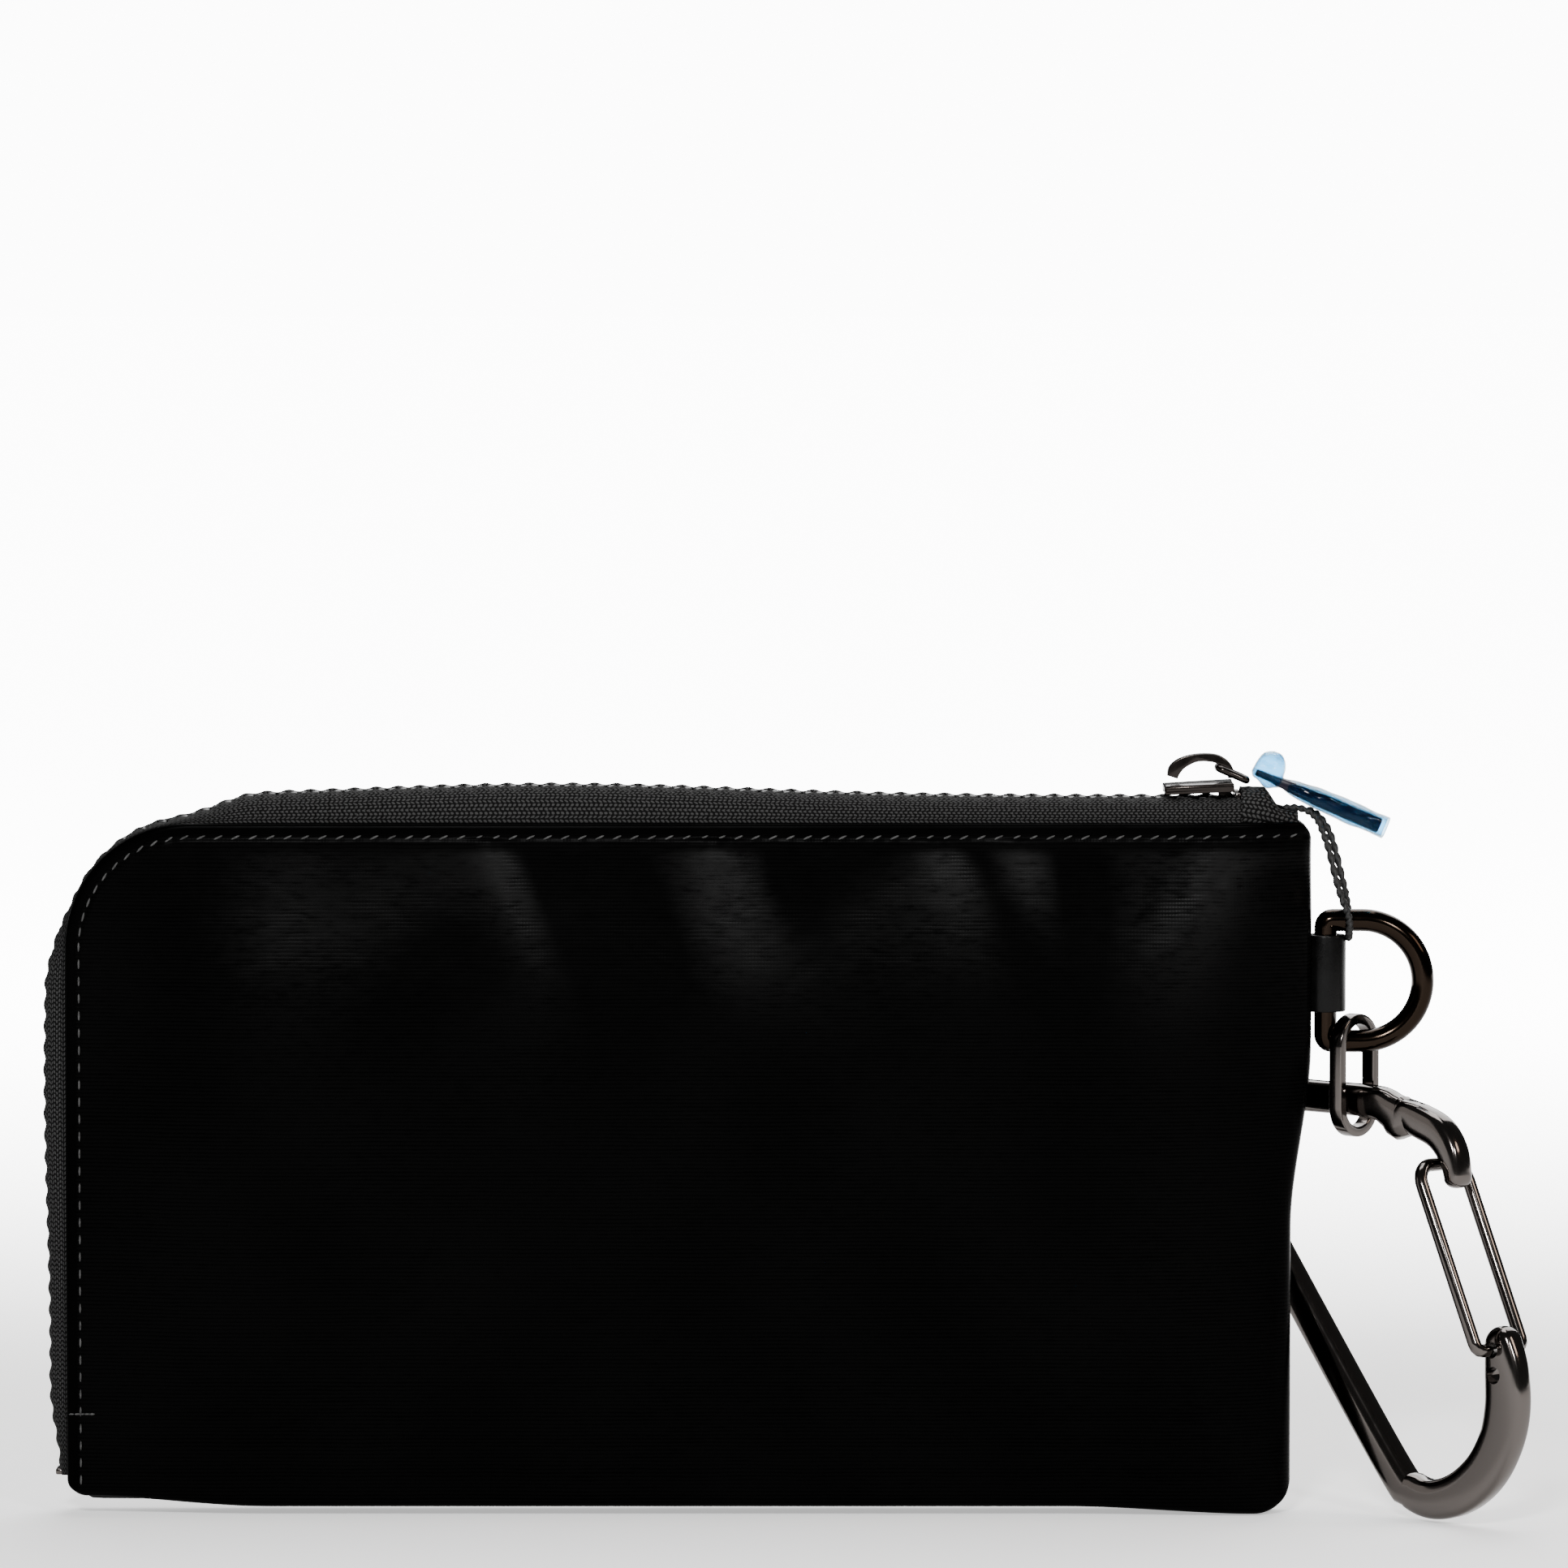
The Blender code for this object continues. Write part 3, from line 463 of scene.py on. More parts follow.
@dataclass(frozen=True)
class StudioFloor:
    """Plain pale paper, lit from below far behind the pouch so that it meets the backdrop."""

    tone: Colour = (0.86, 0.86, 0.86)
    near: float = 0.12
    far: float = 0.9
    glow_near: float = 0.16
    glow_far: float = 3.4
    seen_more: float = 2.6

    def build(self) -> bpy.types.Material:
        """The floor's material."""
        r = Recipe("pale_paper")
        r.set(Base_Color=self.tone, Roughness=0.9, Specular_IOR_Level=0.0, Emission_Color=(1.0, 1.0, 1.0))
        behind = r.node("MapRange", interpolation_type="SMOOTHSTEP")
        r.link(r.axis(r.place(), "Y"), behind.inputs["Value"])
        limits = (self.near, self.far, self.glow_near, self.glow_far)
        for name, value in zip(("From Min", "From Max", "To Min", "To Max"), limits):
            behind.inputs[name].default_value = value
        seen = r.add(r.mul(r.node("LightPath").outputs["Is Camera Ray"], self.seen_more), 1.0)
        r.paint("Emission Strength", r.mul(behind.outputs[0], seen))
        return r.material


class Finishes:
    """Every material, made once."""

    def __init__(self) -> None:
        """Builds the materials."""
        self.canvas = CoatedCanvas().build()
        self.tape = WovenTape().build()
        self.nickel = Polished("black_nickel", (0.105, 0.094, 0.088)).build()
        self.dark_nickel = Polished("dark_nickel", (0.026, 0.022, 0.020), 0.2).build()
        self.bronze = Polished("dark_bronze", (0.016, 0.011, 0.008), 0.12).build()
        self.leather = SmoothLeather().build()
        self.thread = Yarn("charcoal_thread", 0.012, 0.055).build()
        self.cord = Yarn("black_cord", 0.002, 0.014, 2500.0).build()
        self.teeth = Moulded("moulded_teeth", 0.006, 0.38, 900.0).build()
        self.lining = Moulded("lining_cloth", 0.010, 0.85, 2600.0, 0.05 * MM).build()
        self.film = ClearFilm().build()
        self.blade = Lacquer().build()
        self.floor = StudioFloor().build()


# --- mesh helpers ----------------------------------------------------------------------------


def finish_mesh(name: str, bm: bmesh.types.BMesh, material: bpy.types.Material,
                flip: bool = True) -> bpy.types.Object:
    """Turns a bmesh into a smooth-shaded piece.

    Args:
        name: The piece's name.
        bm: Its shape, which is freed.
        material: Its finish.
        flip: Whether its faces are turned outwards first.

    Returns:
        The piece.
    """
    if flip:
        bmesh.ops.recalc_face_normals(bm, faces=bm.faces)
    mesh = bpy.data.meshes.new(name)
    bm.to_mesh(mesh)
    bm.free()
    mesh.shade_smooth()
    mesh.materials.append(material)
    piece = bpy.data.objects.new(name, mesh)
    bpy.context.scene.collection.objects.link(piece)
    return piece


def sharpen(piece: bpy.types.Object, degrees: float = 35.0) -> bpy.types.Object:
    """Keeps edges over this angle crisp."""
    piece.data.set_sharp_from_angle(angle=math.radians(degrees))
    return piece


def wall(piece: bpy.types.Object, thickness: float, offset: float = -1.0) -> bpy.types.Object:
    """Gives an open sheet its thickness."""
    solid = piece.modifiers.new("wall", "SOLIDIFY")
    solid.thickness = thickness
    solid.offset = offset
    solid.use_even_offset = True
    return piece


def grid(columns: int, rows: int, place: Callable[[float, float], Vector]) -> bmesh.types.BMesh:
    """A grid whose points are put by place(share along, share up).

    Args:
        columns: How many cells along.
        rows: How many cells up.
        place: Where the point at two shares goes.

    Returns:
        The grid, with a UV map of the shares.
    """
    bm = bmesh.new()
    bm.loops.layers.uv.verify()
    bmesh.ops.create_grid(bm, x_segments=columns, y_segments=rows, size=0.5, calc_uvs=True)
    for vert in bm.verts:
        vert.co = place(vert.co.x + 0.5, vert.co.y + 0.5)
    return bm


def face_out(bm: bmesh.types.BMesh, out: Vector) -> None:
    """Turns a sheet's faces so that on the whole they look the way of out."""
    bm.normal_update()
    if sum(f.normal.dot(out) * f.calc_area() for f in bm.faces) < 0:
        bmesh.ops.reverse_faces(bm, faces=bm.faces)


def rounded_box(low: Vector, high: Vector, bevel: float, segments: int = 3) -> bmesh.types.BMesh:
    """A box between two corners with rounded edges."""
    bm = bmesh.new()
    bmesh.ops.create_cube(bm, size=1.0)
    bmesh.ops.scale(bm, vec=high - low, verts=bm.verts)
    bmesh.ops.translate(bm, vec=(low + high) / 2, verts=bm.verts)
    bmesh.ops.bevel(bm, geom=bm.edges[:], offset=bevel, offset_type="OFFSET", segments=segments,
                    profile=0.5, affect="EDGES", material=-1, clamp_overlap=True)
    return bm


def merge(bm: bmesh.types.BMesh, part: bmesh.types.BMesh) -> None:
    """Adds part's shape to bm and frees part."""
    held = bpy.data.meshes.new("held")
    part.to_mesh(held)
    part.free()
    bm.from_mesh(held)
    bpy.data.meshes.remove(held)


def squared(angle: float, power: float) -> tuple[float, float]:
    """A point of a unit disc's rim, pushed out towards a square by a power below 1."""
    cos, sin = math.cos(angle), math.sin(angle)
    return math.copysign(abs(cos) ** power, cos), math.copysign(abs(sin) ** power, sin)


def tube(name: str, path: Sequence[Vector], radius: float | Callable[[float], float],
         material: bpy.types.Material, closed: bool = False, sides: int = 16,
         section: Callable[[float, float], float] | None = None) -> bpy.types.Object:
    """A round tube swept along a path.

    Args:
        name: The piece's name.
        path: The centre line.
        radius: Its radius, or a function of the share along it.
        material: Its finish.
        closed: Whether the path is a loop.
        sides: How many sides the tube has.
        section: The radius' factor at a share along and an angle, such as for twisted strands.

    Returns:
        The piece.
    """
    bm = bmesh.new()
    count = len(path)
    headings = []
    for i in range(count):
        after = path[(i + 1) % count] if closed else path[min(i + 1, count - 1)]
        before = path[i - 1] if closed or i else path[0]
        headings.append((after - before).normalized())
    start = headings[0].orthogonal().normalized()
    frames, turn = [start], start
    for a, b in zip(headings, headings[1:]):
        turn = (a.rotation_difference(b) @ turn).normalized()
        frames.append(turn)
    slip = 0.0
    if closed:
        back = (headings[-1].rotation_difference(headings[0]) @ turn).normalized()
        slip = math.atan2(start.cross(back).dot(headings[0]), start.dot(back))
    rings = []
    for i, (point, heading, side) in enumerate(zip(path, headings, frames)):
        share = i / count if closed else i / (count - 1)
        width = radius(share) if callable(radius) else radius
        other = heading.cross(side)
        ring = bmesh.ops.create_circle(bm, segments=sides, radius=1.0, cap_ends=False)["verts"]
        for number, vert in enumerate(ring):
            angle = math.tau * number / sides - slip * share
            reach = width * (section(share, angle) if section else 1.0)
            vert.co = point + (side * math.cos(angle) + other * math.sin(angle)) * reach
        rings.append([e for e in {e for v in ring for e in v.link_edges}])
    pairs = list(zip(rings, rings[1:])) + ([(rings[-1], rings[0])] if closed else [])
    for a, b in pairs:
        bmesh.ops.bridge_loops(bm, edges=a + b)
    if not closed:
        for end in (rings[0], rings[-1]):
            bmesh.ops.contextual_create(bm, geom=end)
    return finish_mesh(name, bm, material)


def plate(name: str, outline: Outline, half_thick: float, bevel: float, frame_at: Matrix,
          material: bpy.types.Material, hole: Outline | None = None) -> bpy.types.Object:
    """A flat plate with rounded rims, from its outline.

    Args:
        name: The piece's name.
        outline: Its outer outline in its own plane.
        half_thick: Half its thickness.
        bevel: How far its rims are rounded.
        frame_at: Where its plane stands.
        material: Its finish.
        hole: The outline of a hole with as many points, or None.

    Returns:
        The piece.
    """
    bm = bmesh.new()
    outer = [bm.verts.new((x, y, -half_thick)) for x, y in outline]
    if hole is None:
        faces = [bm.faces.new(outer)]
    else:
        inner = [bm.verts.new((x, y, -half_thick)) for x, y in hole]
        loops = [bm.edges.new((ring[i], ring[i - 1])) for ring in (outer, inner) for i in range(len(ring))]
        faces = bmesh.ops.bridge_loops(bm, edges=loops)["faces"]
    rims = [e for e in bm.edges if len(e.link_faces) == 1]
    rim_points = [(v.co.x, v.co.y) for e in rims for v in e.verts]
    raised = bmesh.ops.extrude_face_region(bm, geom=faces)["geom"]
    top = [v for v in raised if isinstance(v, bmesh.types.BMVert)]
    bmesh.ops.translate(bm, vec=(0, 0, 2 * half_thick), verts=top)
    bmesh.ops.recalc_face_normals(bm, faces=bm.faces)
    rim_set = {(round(x, 7), round(y, 7)) for x, y in rim_points}
    edges = [e for e in bm.edges
             if abs(e.verts[0].co.z - e.verts[1].co.z) < 1e-9 and len(e.link_faces) == 2
             and e.calc_face_angle(0.0) > math.radians(60)
             and all((round(v.co.x, 7), round(v.co.y, 7)) in rim_set for v in e.verts)]
    bmesh.ops.bevel(bm, geom=edges, offset=bevel, offset_type="OFFSET", segments=4,
                    profile=0.5, affect="EDGES", material=-1, clamp_overlap=True)
    bm.transform(frame_at)
    return sharpen(finish_mesh(name, bm, material), 40.0)


def upright(x: float, turn: float, foot: float = 0.0) -> Matrix:
    """A standing plane: its first axis is turned about Z towards -Y, its second is up."""
    along = Vector((math.cos(turn), -math.sin(turn), 0.0))
    up = Vector((0.0, 0.0, 1.0))
    made = Matrix((along, up, along.cross(up))).transposed().to_4x4()
    made.translation = Vector((x, 0.0, foot))
    return made


def attach(piece: bpy.types.Object, body: str, slot: str, *nodes: str) -> bpy.types.Object:
    """Rides a piece on a body and hides the nodes that it stands for."""
    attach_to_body(piece, body)
    if nodes:
        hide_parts(*nodes)
    LOG.info("%s rides on %s", piece.name, body)
    return piece


# --- the pouch's form ------------------------------------------------------------------------


@dataclass(frozen=True)
class Fold:
    """A soft fold that falls from the stitch line.

    Its place is measured from the pouch's middle, and a slant of 1 leans 45 degrees towards +X
    as it goes down. A positive lift stands out, a negative one is a valley.
    """

    x: float
    slant: float
    width: float
    length: float
    lift: float
    start: float = 0.0

    def at(self, x: float, down: float) -> float:
        """How far the cloth stands out at x, this far below the stitch line."""
        across = x - self.x - self.slant * down
        spread = self.width * (1 + 0.6 * clamp(down / self.length))
        along = ease((down - self.start + 0.004) / 0.008) * (1 - ease((down - self.start) / self.length))
        return self.lift * bell(across / spread) * along


@dataclass(frozen=True)
class PouchForm:
    """The pouch's outline and thickness, shared by its cloths and its zip."""

    left_x: float
    right_x: float
    panel_top: float
    foot_lean: float = 2.9 * MM
    step_low: float = 43 * MM
    step_high: float = 70 * MM
    half: float = 10.0 * MM
    top_half: float = 7.9 * MM
    side_half: float = 6.2 * MM
    base_half: float = 5.6 * MM
    seam_half: float = 1.1 * MM
    zip_corner: float = 19 * MM
    base_corner: float = 5.5 * MM
    small_corner: float = 3 * MM
    tab_middle: float = 81.05 * MM
    tab_half: float = 5.15 * MM
    folds: tuple[Fold, ...] = (
        Fold(-29.5 * MM, 0.42, 3.0 * MM, 36 * MM, 0.48 * MM),
        Fold(-22 * MM, 0.50, 4.2 * MM, 42 * MM, -0.36 * MM),
        Fold(-13 * MM, 0.55, 5.0 * MM, 46 * MM, -0.30 * MM),
        Fold(4.5 * MM, 0.30, 4.2 * MM, 40 * MM, 0.44 * MM),
        Fold(13 * MM, 0.35, 4.0 * MM, 36 * MM, -0.28 * MM),
        Fold(38 * MM, 0.35, 3.4 * MM, 34 * MM, 0.39 * MM),
        Fold(44 * MM, 0.50, 3.0 * MM, 30 * MM, -0.27 * MM),
        Fold(50.5 * MM, 0.30, 3.6 * MM, 30 * MM, 0.36 * MM),
        Fold(59 * MM, 0.05, 4.6 * MM, 34 * MM, -0.27 * MM),
        Fold(83 * MM, -0.35, 4.5 * MM, 42 * MM, 0.36 * MM),
        Fold(-58 * MM, 0.10, 6.0 * MM, 30 * MM, 0.16 * MM),
        Fold(-45 * MM, 0.20, 4.0 * MM, 28 * MM, -0.14 * MM),
        Fold(-8 * MM, 0.15, 9.0 * MM, 30 * MM, 0.20 * MM, 34 * MM),
        Fold(22 * MM, -0.35, 8.0 * MM, 32 * MM, 0.17 * MM, 22 * MM),
    )

    @classmethod
    def from_frame(cls) -> "PouchForm":
        """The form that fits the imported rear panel."""
        low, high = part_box("rear_panel")
        return cls(left_x=low.x, right_x=high.x - 0.4 * MM, panel_top=high.z)

    def seam_x(self, z: float) -> float:
        """The side seam's place, which leans in towards the base."""
        lean = ease((z - self.step_low) / (self.step_high - self.step_low))
        return self.right_x - self.foot_lean * (1 - lean)

    def seam_depth(self, z: float) -> float:
        """Half the thickness at the side seam, which swells round the ring's tab."""
        past = abs(z - self.tab_middle) - self.tab_half - 4 * MM
        return self.seam_half + 1.8 * MM * (1 - ease(past / (8 * MM)))

    def half_depth(self, x: float, z: float) -> float:
        """From the middle plane to the cloth's face."""
        drops = (
            (self.half - self.top_half) * (1 - ease((self.panel_top - z) / (30 * MM))),
            (self.half - self.side_half) * (1 - ease((x - self.left_x) / (30 * MM))),
            (self.half - self.base_half) * (1 - math.sin(math.pi / 2 * clamp(z / (45 * MM)))),
            (self.half - self.seam_depth(z)) * (1 - bow((self.seam_x(z) - x) / (35 * MM))),
        )
        return self.half - sum(drop**6 for drop in drops) ** (1 / 6)

    def rounded(self, x: float, z: float, left: float, right: float, foot: float,
                top: float) -> tuple[float, float]:
        """Pulls the corners of the outline's rectangle onto quarter discs."""
        corners = (
            (left, top, self.zip_corner, -1, 1),
            (right, top, self.small_corner, 1, 1),
            (left, foot, self.small_corner, -1, -1),
            (right, foot, self.base_corner, 1, -1),
        )
        for corner_x, corner_z, radius, to_x, to_z in corners:
            a = (x - corner_x) * to_x + radius
            b = (z - corner_z) * to_z + radius
            if a > 0 and b > 0:
                out = a * math.sqrt(1 - b * b / (2 * radius**2))
                rise = b * math.sqrt(1 - a * a / (2 * radius**2))
                return corner_x + to_x * (out - radius), corner_z + to_z * (rise - radius)
        return x, z

    def from_edge(self, x: float, z: float) -> float:
        """The distance in from the turned edge that the zip is sewn to."""
        side, top = x - self.left_x, self.panel_top - z
        if side < self.zip_corner and top < self.zip_corner:
            return self.zip_corner - math.hypot(self.zip_corner - side, self.zip_corner - top)
        return min(side, top)

    def foot_lift(self, x: float) -> float:
        """How far the base line is pulled up: it stands on its right corner."""
        middle = 1.2 * MM * (1 - ease((x - 0.058) / 0.030))
        return middle + 1.6 * MM * ease((-0.062 - x) / 0.028)

    def relief(self, x: float, z: float, side: Side) -> float:
        """Folds, puckers at the stitches and slow waves, along the cloth's normal."""
        down = self.from_edge(x, z) - 2.1 * MM
        if down < 0:
            return 0.0
        flip = 1.0 if side is Side.REAR else -1.0
        total = sum(fold.at(x * flip + (0 if flip > 0 else 6 * MM), down) for fold in self.folds)
        seed = Vector((x, 0.31 * flip, z))
        slow = noise.noise(seed * 28.0) * 0.42 * MM + noise.noise(seed * 75.0) * 0.16 * MM
        fine = noise.noise(Vector((x * 1.0, flip, z * 2.2)) * 210.0) * 0.030 * MM
        hem = ease(down / (12 * MM)) * 0.85 + 0.15
        pucker = 0.05 * MM * math.sin(math.tau * x / (2.6 * MM)) * bell(down / (1.6 * MM))
        border = ease((self.seam_x(z) - x) / (9 * MM)) * ease(z / (10 * MM))
        return (total + (slow + fine) * hem) * border + pucker


    def painted_sheen(self, x: float, z: float, side: Side) -> float:
        """The painted sheen mask: how much shine is painted on the coat, along the folds that stand out and
        below the zip.
        """
        down = self.from_edge(x, z) - 2.1 * MM
        flip = 1.0 if side is Side.REAR else -1.0
        high = [fold for fold in self.folds if fold.lift > 0.3 * MM]
        deep = [fold for fold in self.folds if fold.lift < -0.25 * MM]
        ridges = sum(fold.at(x * flip, down) / fold.lift for fold in high)
        valleys = sum(fold.at(x * flip, down) / fold.lift for fold in deep)
        patch = 0.5 + noise.noise(Vector((x * 60.0, flip, z * 42.0)))
        fall = 1 - ease((self.panel_top - z) / (38 * MM))
        top = ease((down - 1.2 * MM) / (2 * MM)) * fall
        side_fade = ease((x - self.left_x - 14 * MM) / (24 * MM))
        # Painted sheen: more on the ridges and the top band, less in the valleys, faded towards the left
        # end.
        share = 0.45 * clamp(patch) + 0.9 * ridges - 0.5 * valleys
        return clamp(top * side_fade * share + 0.05 * clamp(patch))


@dataclass(frozen=True)
class ZipPath:
    """The turned edge of the panels, from the side seam round to the zip's foot."""

    form: PouchForm
    end_x: float
    rise: float = 3.5 * MM
    side_rise: float = 3.0 * MM
    foot_z: float = 6.0 * MM
    tuck_share: float = 0.90
    tuck_length: float = 14 * MM
    tuck_in_top: float = 4 * MM
    tuck_in_side: float = 8 * MM

    @property
    def top(self) -> float:
        """Length of the run along the top."""
        return self.end_x - (self.form.left_x + self.form.zip_corner)

    @property
    def turn(self) -> float:
        """Length of the run round the corner."""
        return self.form.zip_corner * math.pi / 2

    @property
    def down(self) -> float:
        """Length of the run down the side."""
        return self.form.panel_top - self.form.zip_corner - self.foot_z

    @property
    def length(self) -> float:
        """The whole zip's length."""
        return self.top + self.turn + self.down

    def crown(self, x: float) -> float:
        """How much further the zip stands up along the middle of its top run."""
        return 1.75 * MM * bell((x + 19 * MM) / (40 * MM)) * ease((x + 78 * MM) / (20 * MM))

    def at(self, s: float) -> tuple[Vector, Vector, float]:
        """Follows the edge.

        Args:
            s: The distance from the side seam's end.

        Returns:
            The point on the edge, the way out of the pouch there, and the zip's rise.
        """
        form = self.form
        past = max(self.top + self.tuck_in_top - s, s - self.top - self.turn + self.tuck_in_side, 0.0)
        tuck = 1 - self.tuck_share * (1 - ease(past / self.tuck_length))
        if s <= self.top:
            x = self.end_x - s
            return Vector((x, 0.0, form.panel_top)), Vector((0, 0, 1)), (self.rise + self.crown(x)) * tuck
        centre = Vector((form.left_x + form.zip_corner, 0.0, form.panel_top - form.zip_corner))
        angle = min((s - self.top) / form.zip_corner, math.pi / 2)
        out = Vector((-math.sin(angle), 0.0, math.cos(angle)))
        rise = self.rise + (self.side_rise - self.rise) * ease(angle / (math.pi / 2))
        below = max(s - self.top - self.turn, 0.0)
        wave = 0.35 * MM * math.sin(below / (13 * MM))
        rise = (rise + wave) * tuck * (1 - 0.6 * ease((below - self.down + 14 * MM) / (14 * MM)))
        return centre + out * form.zip_corner + Vector((0, 0, -below)), out, rise


# --- the cloths ------------------------------------------------------------------------------


@dataclass
class Shell:
    """Both canvas panels with their turned edges and seams, and the linings inside them."""

    form: PouchForm
    finishes: Finishes
    columns: int = 300
    rows: int = 170
    canvas_wall: float = 0.9 * MM
    lining_wall: float = 0.4 * MM
    lining_inset: float = 2.4 * MM
    lining_drop: float = 1.4 * MM
    edge_roll: float = 0.45 * MM
    stitch_inset: float = 2.1 * MM
    base_seam: float = 2.5 * MM
    lip_share: float = 0.06

    def canvas_point(self, side: Side, u: float, v: float) -> Vector:
        """Where the canvas is at two shares: along, and up from the seam under the base."""
        form = self.form
        left, top = form.left_x, form.panel_top
        lip = clamp(v / self.lip_share)
        up = clamp((v - self.lip_share) / (1 - self.lip_share))
        fillet = 2.0 * MM
        turn = clamp((lip - 0.5) / 0.5)
        z = fillet * (1 - math.cos(turn * math.pi / 2)) if up == 0 else fillet
        z += (top - fillet) * crowded(up, (0.04, 0.02), (0.16, 0.045))
        right = form.seam_x(z)
        x = left + (right - left) * crowded(u, (0.12, 0.025), (0.10, 0.03))
        x, z = form.rounded(x, z, left, right, 0.0, top)
        depth = form.half_depth(x, max(z, fillet * 0.5))
        if up == 0:
            share = clamp(lip / 0.5) * 0.8 + 0.2 * math.sin(turn * math.pi / 2)
            seam = self.base_seam * ease((depth - 2.2 * MM) / (3 * MM))
            y = side.value * depth * share + (1 - share) * seam
            return Vector((x, y, z + form.foot_lift(x)))
        inside = form.from_edge(x, z)
        depth += form.relief(x, z, side) + self.hem(inside)
        to_seam = right - x
        if to_seam < 1.2 * MM:
            depth -= 0.35 * MM * (1 - bow(to_seam / (1.2 * MM)))
        lift = form.foot_lift(x) * (1 - ease(z / (34 * MM)))
        return Vector((x, side.value * depth, z + lift))

    def hem(self, inside: float) -> float:
        """The turned edge's section: rolled over, a little full, pulled down by the stitches."""
        roll = self.edge_roll
        past = clamp(inside / roll)
        full = 0.16 * MM * math.sin(math.pi * clamp(inside / self.stitch_inset))
        groove = 0.20 * MM * bell((inside - self.stitch_inset) / (0.42 * MM))
        return full - groove - roll * (1 - bow(past))

    def make_canvas(self, side: Side) -> bpy.types.Object:
        """One canvas panel.

        Args:
            side: Which panel.

        Returns:
            The piece, with the turned and sheen attributes that its finish reads.
        """
        bm = grid(self.columns, self.rows, lambda u, v: self.canvas_point(side, u, v))
        face_out(bm, Vector((0, side.value, 0)))
        turned = bm.verts.layers.float.new("turned")
        sheen = bm.verts.layers.float.new("sheen")
        for vert in bm.verts:
            inside = self.form.from_edge(vert.co.x, vert.co.z)
            vert[turned] = 1 - ease((inside - 1.45 * MM) / (0.5 * MM))
            vert[sheen] = self.form.painted_sheen(vert.co.x, vert.co.z, side)
        piece = finish_mesh(f"{side.label}_canvas", bm, self.finishes.canvas, flip=False)
        return wall(piece, self.canvas_wall)

    def make_lining(self, side: Side) -> bpy.types.Object:
        """One lining, hanging inside its panel."""
        form, inset, drop = self.form, self.lining_inset, self.lining_drop

        def place(u: float, v: float) -> Vector:
            z = inset + (form.panel_top - drop - inset) * v
            left, right = form.left_x + drop, form.seam_x(z) - inset - 1.6 * MM
            x, z = form.rounded(left + (right - left) * u, z, left, right, inset, form.panel_top - drop)
            middle = form.half_depth(x + (inset if x > 0 else 0.0), z) - inset
            slack = noise.noise(Vector((x, side.value * 0.7, z)) * 45.0) * 0.25 * MM
            return Vector((x, side.value * max(middle + slack * ease(v * (1 - v) * 8), 0.3 * MM), z))

        bm = grid(90, 50, place)
        piece = finish_mesh(f"{side.label}_lining_cloth", bm, self.finishes.lining)
        return wall(piece, self.lining_wall, 0.0)

    def build(self) -> None:
        """Makes the panels and linings and puts them on the pouch."""
        for side in Side:
            attach(self.make_canvas(side), "pouch", "black_canvas", f"{side.label}_panel")
            attach(self.make_lining(side), "pouch", "lining_cloth", f"{side.label}_lining")


@dataclass
class Topstitch:
    """The slanted stitches along the turned edge, with the bartack at the zip's foot."""

    form: PouchForm
    path: ZipPath
    material: bpy.types.Material
    pitch: float = 2.6 * MM
    length: float = 1.55 * MM
    radius: float = 0.17 * MM
    inset: float = 2.1 * MM
    slant: float = 24.0

    def stitch(self, bm: bmesh.types.BMesh, side: Side, on: Vector, sunk: float, along: Vector,
               length: float) -> None:
        """Adds one stitch to bm: a rounded dash that lies along a heading at a place on the cloth."""
        made = bmesh.ops.create_uvsphere(bm, u_segments=8, v_segments=6, radius=1.0)["verts"]
        out = Vector((0, side.value, 0))
        centre = Vector((on.x, side.value * (self.form.half_depth(on.x, on.z) - sunk), on.z))
        turn = Matrix((along, along.cross(out).normalized(), out)).transposed().to_4x4()
        size = Matrix.Diagonal((length / 2, self.radius, self.radius, 1.0))
        bmesh.ops.transform(bm, matrix=Matrix.Translation(centre) @ turn @ size, verts=made)

    def build(self) -> None:
        """Makes each side's stitches."""
        for side in Side:
            bm = bmesh.new()
            last = self.path.length + 5 * MM
            start = -(self.form.right_x - self.path.end_x) + 3.0 * MM
            for n in range(int((last - start) / self.pitch)):
                s = start + n * self.pitch
                edge, out, _ = self.path.at(s)
                if s < 0:
                    edge = Vector((self.path.end_x - s, 0.0, self.form.panel_top))
                on = edge - out * self.inset
                before = s <= self.path.top + self.path.turn
                forward = Vector((-out.z, 0.0, out.x)) if before else Vector((0, 0, -1))
                upright_share = ease((s - self.path.top) / self.path.turn)
                lean = math.radians(self.slant) * side.value * (1 - upright_share)
                heading = forward * math.cos(lean) - out * math.sin(lean) * side.value
                self.stitch(bm, side, on, 0.10 * MM, heading, self.length)
            foot, out, _ = self.path.at(self.path.length)
            for n in range(5):
                on = foot - out * (self.inset - 1.3 * MM + n * 0.75 * MM) + Vector((0, 0, 9.5 * MM))
                self.stitch(bm, side, on, -0.02 * MM, Vector((1, 0, 0)), 1.0 * MM)
            piece = finish_mesh(f"{side.label}_stitches", bm, self.material)
            attach(piece, "pouch", "charcoal_thread", f"{side.label}_topstitch")


# --- the zip ---------------------------------------------------------------------------------


@dataclass(frozen=True)
class Stretch:
    """A stretch of the zip that opens by the same share behind the slider."""

    start: float
    end: float
    keep: float


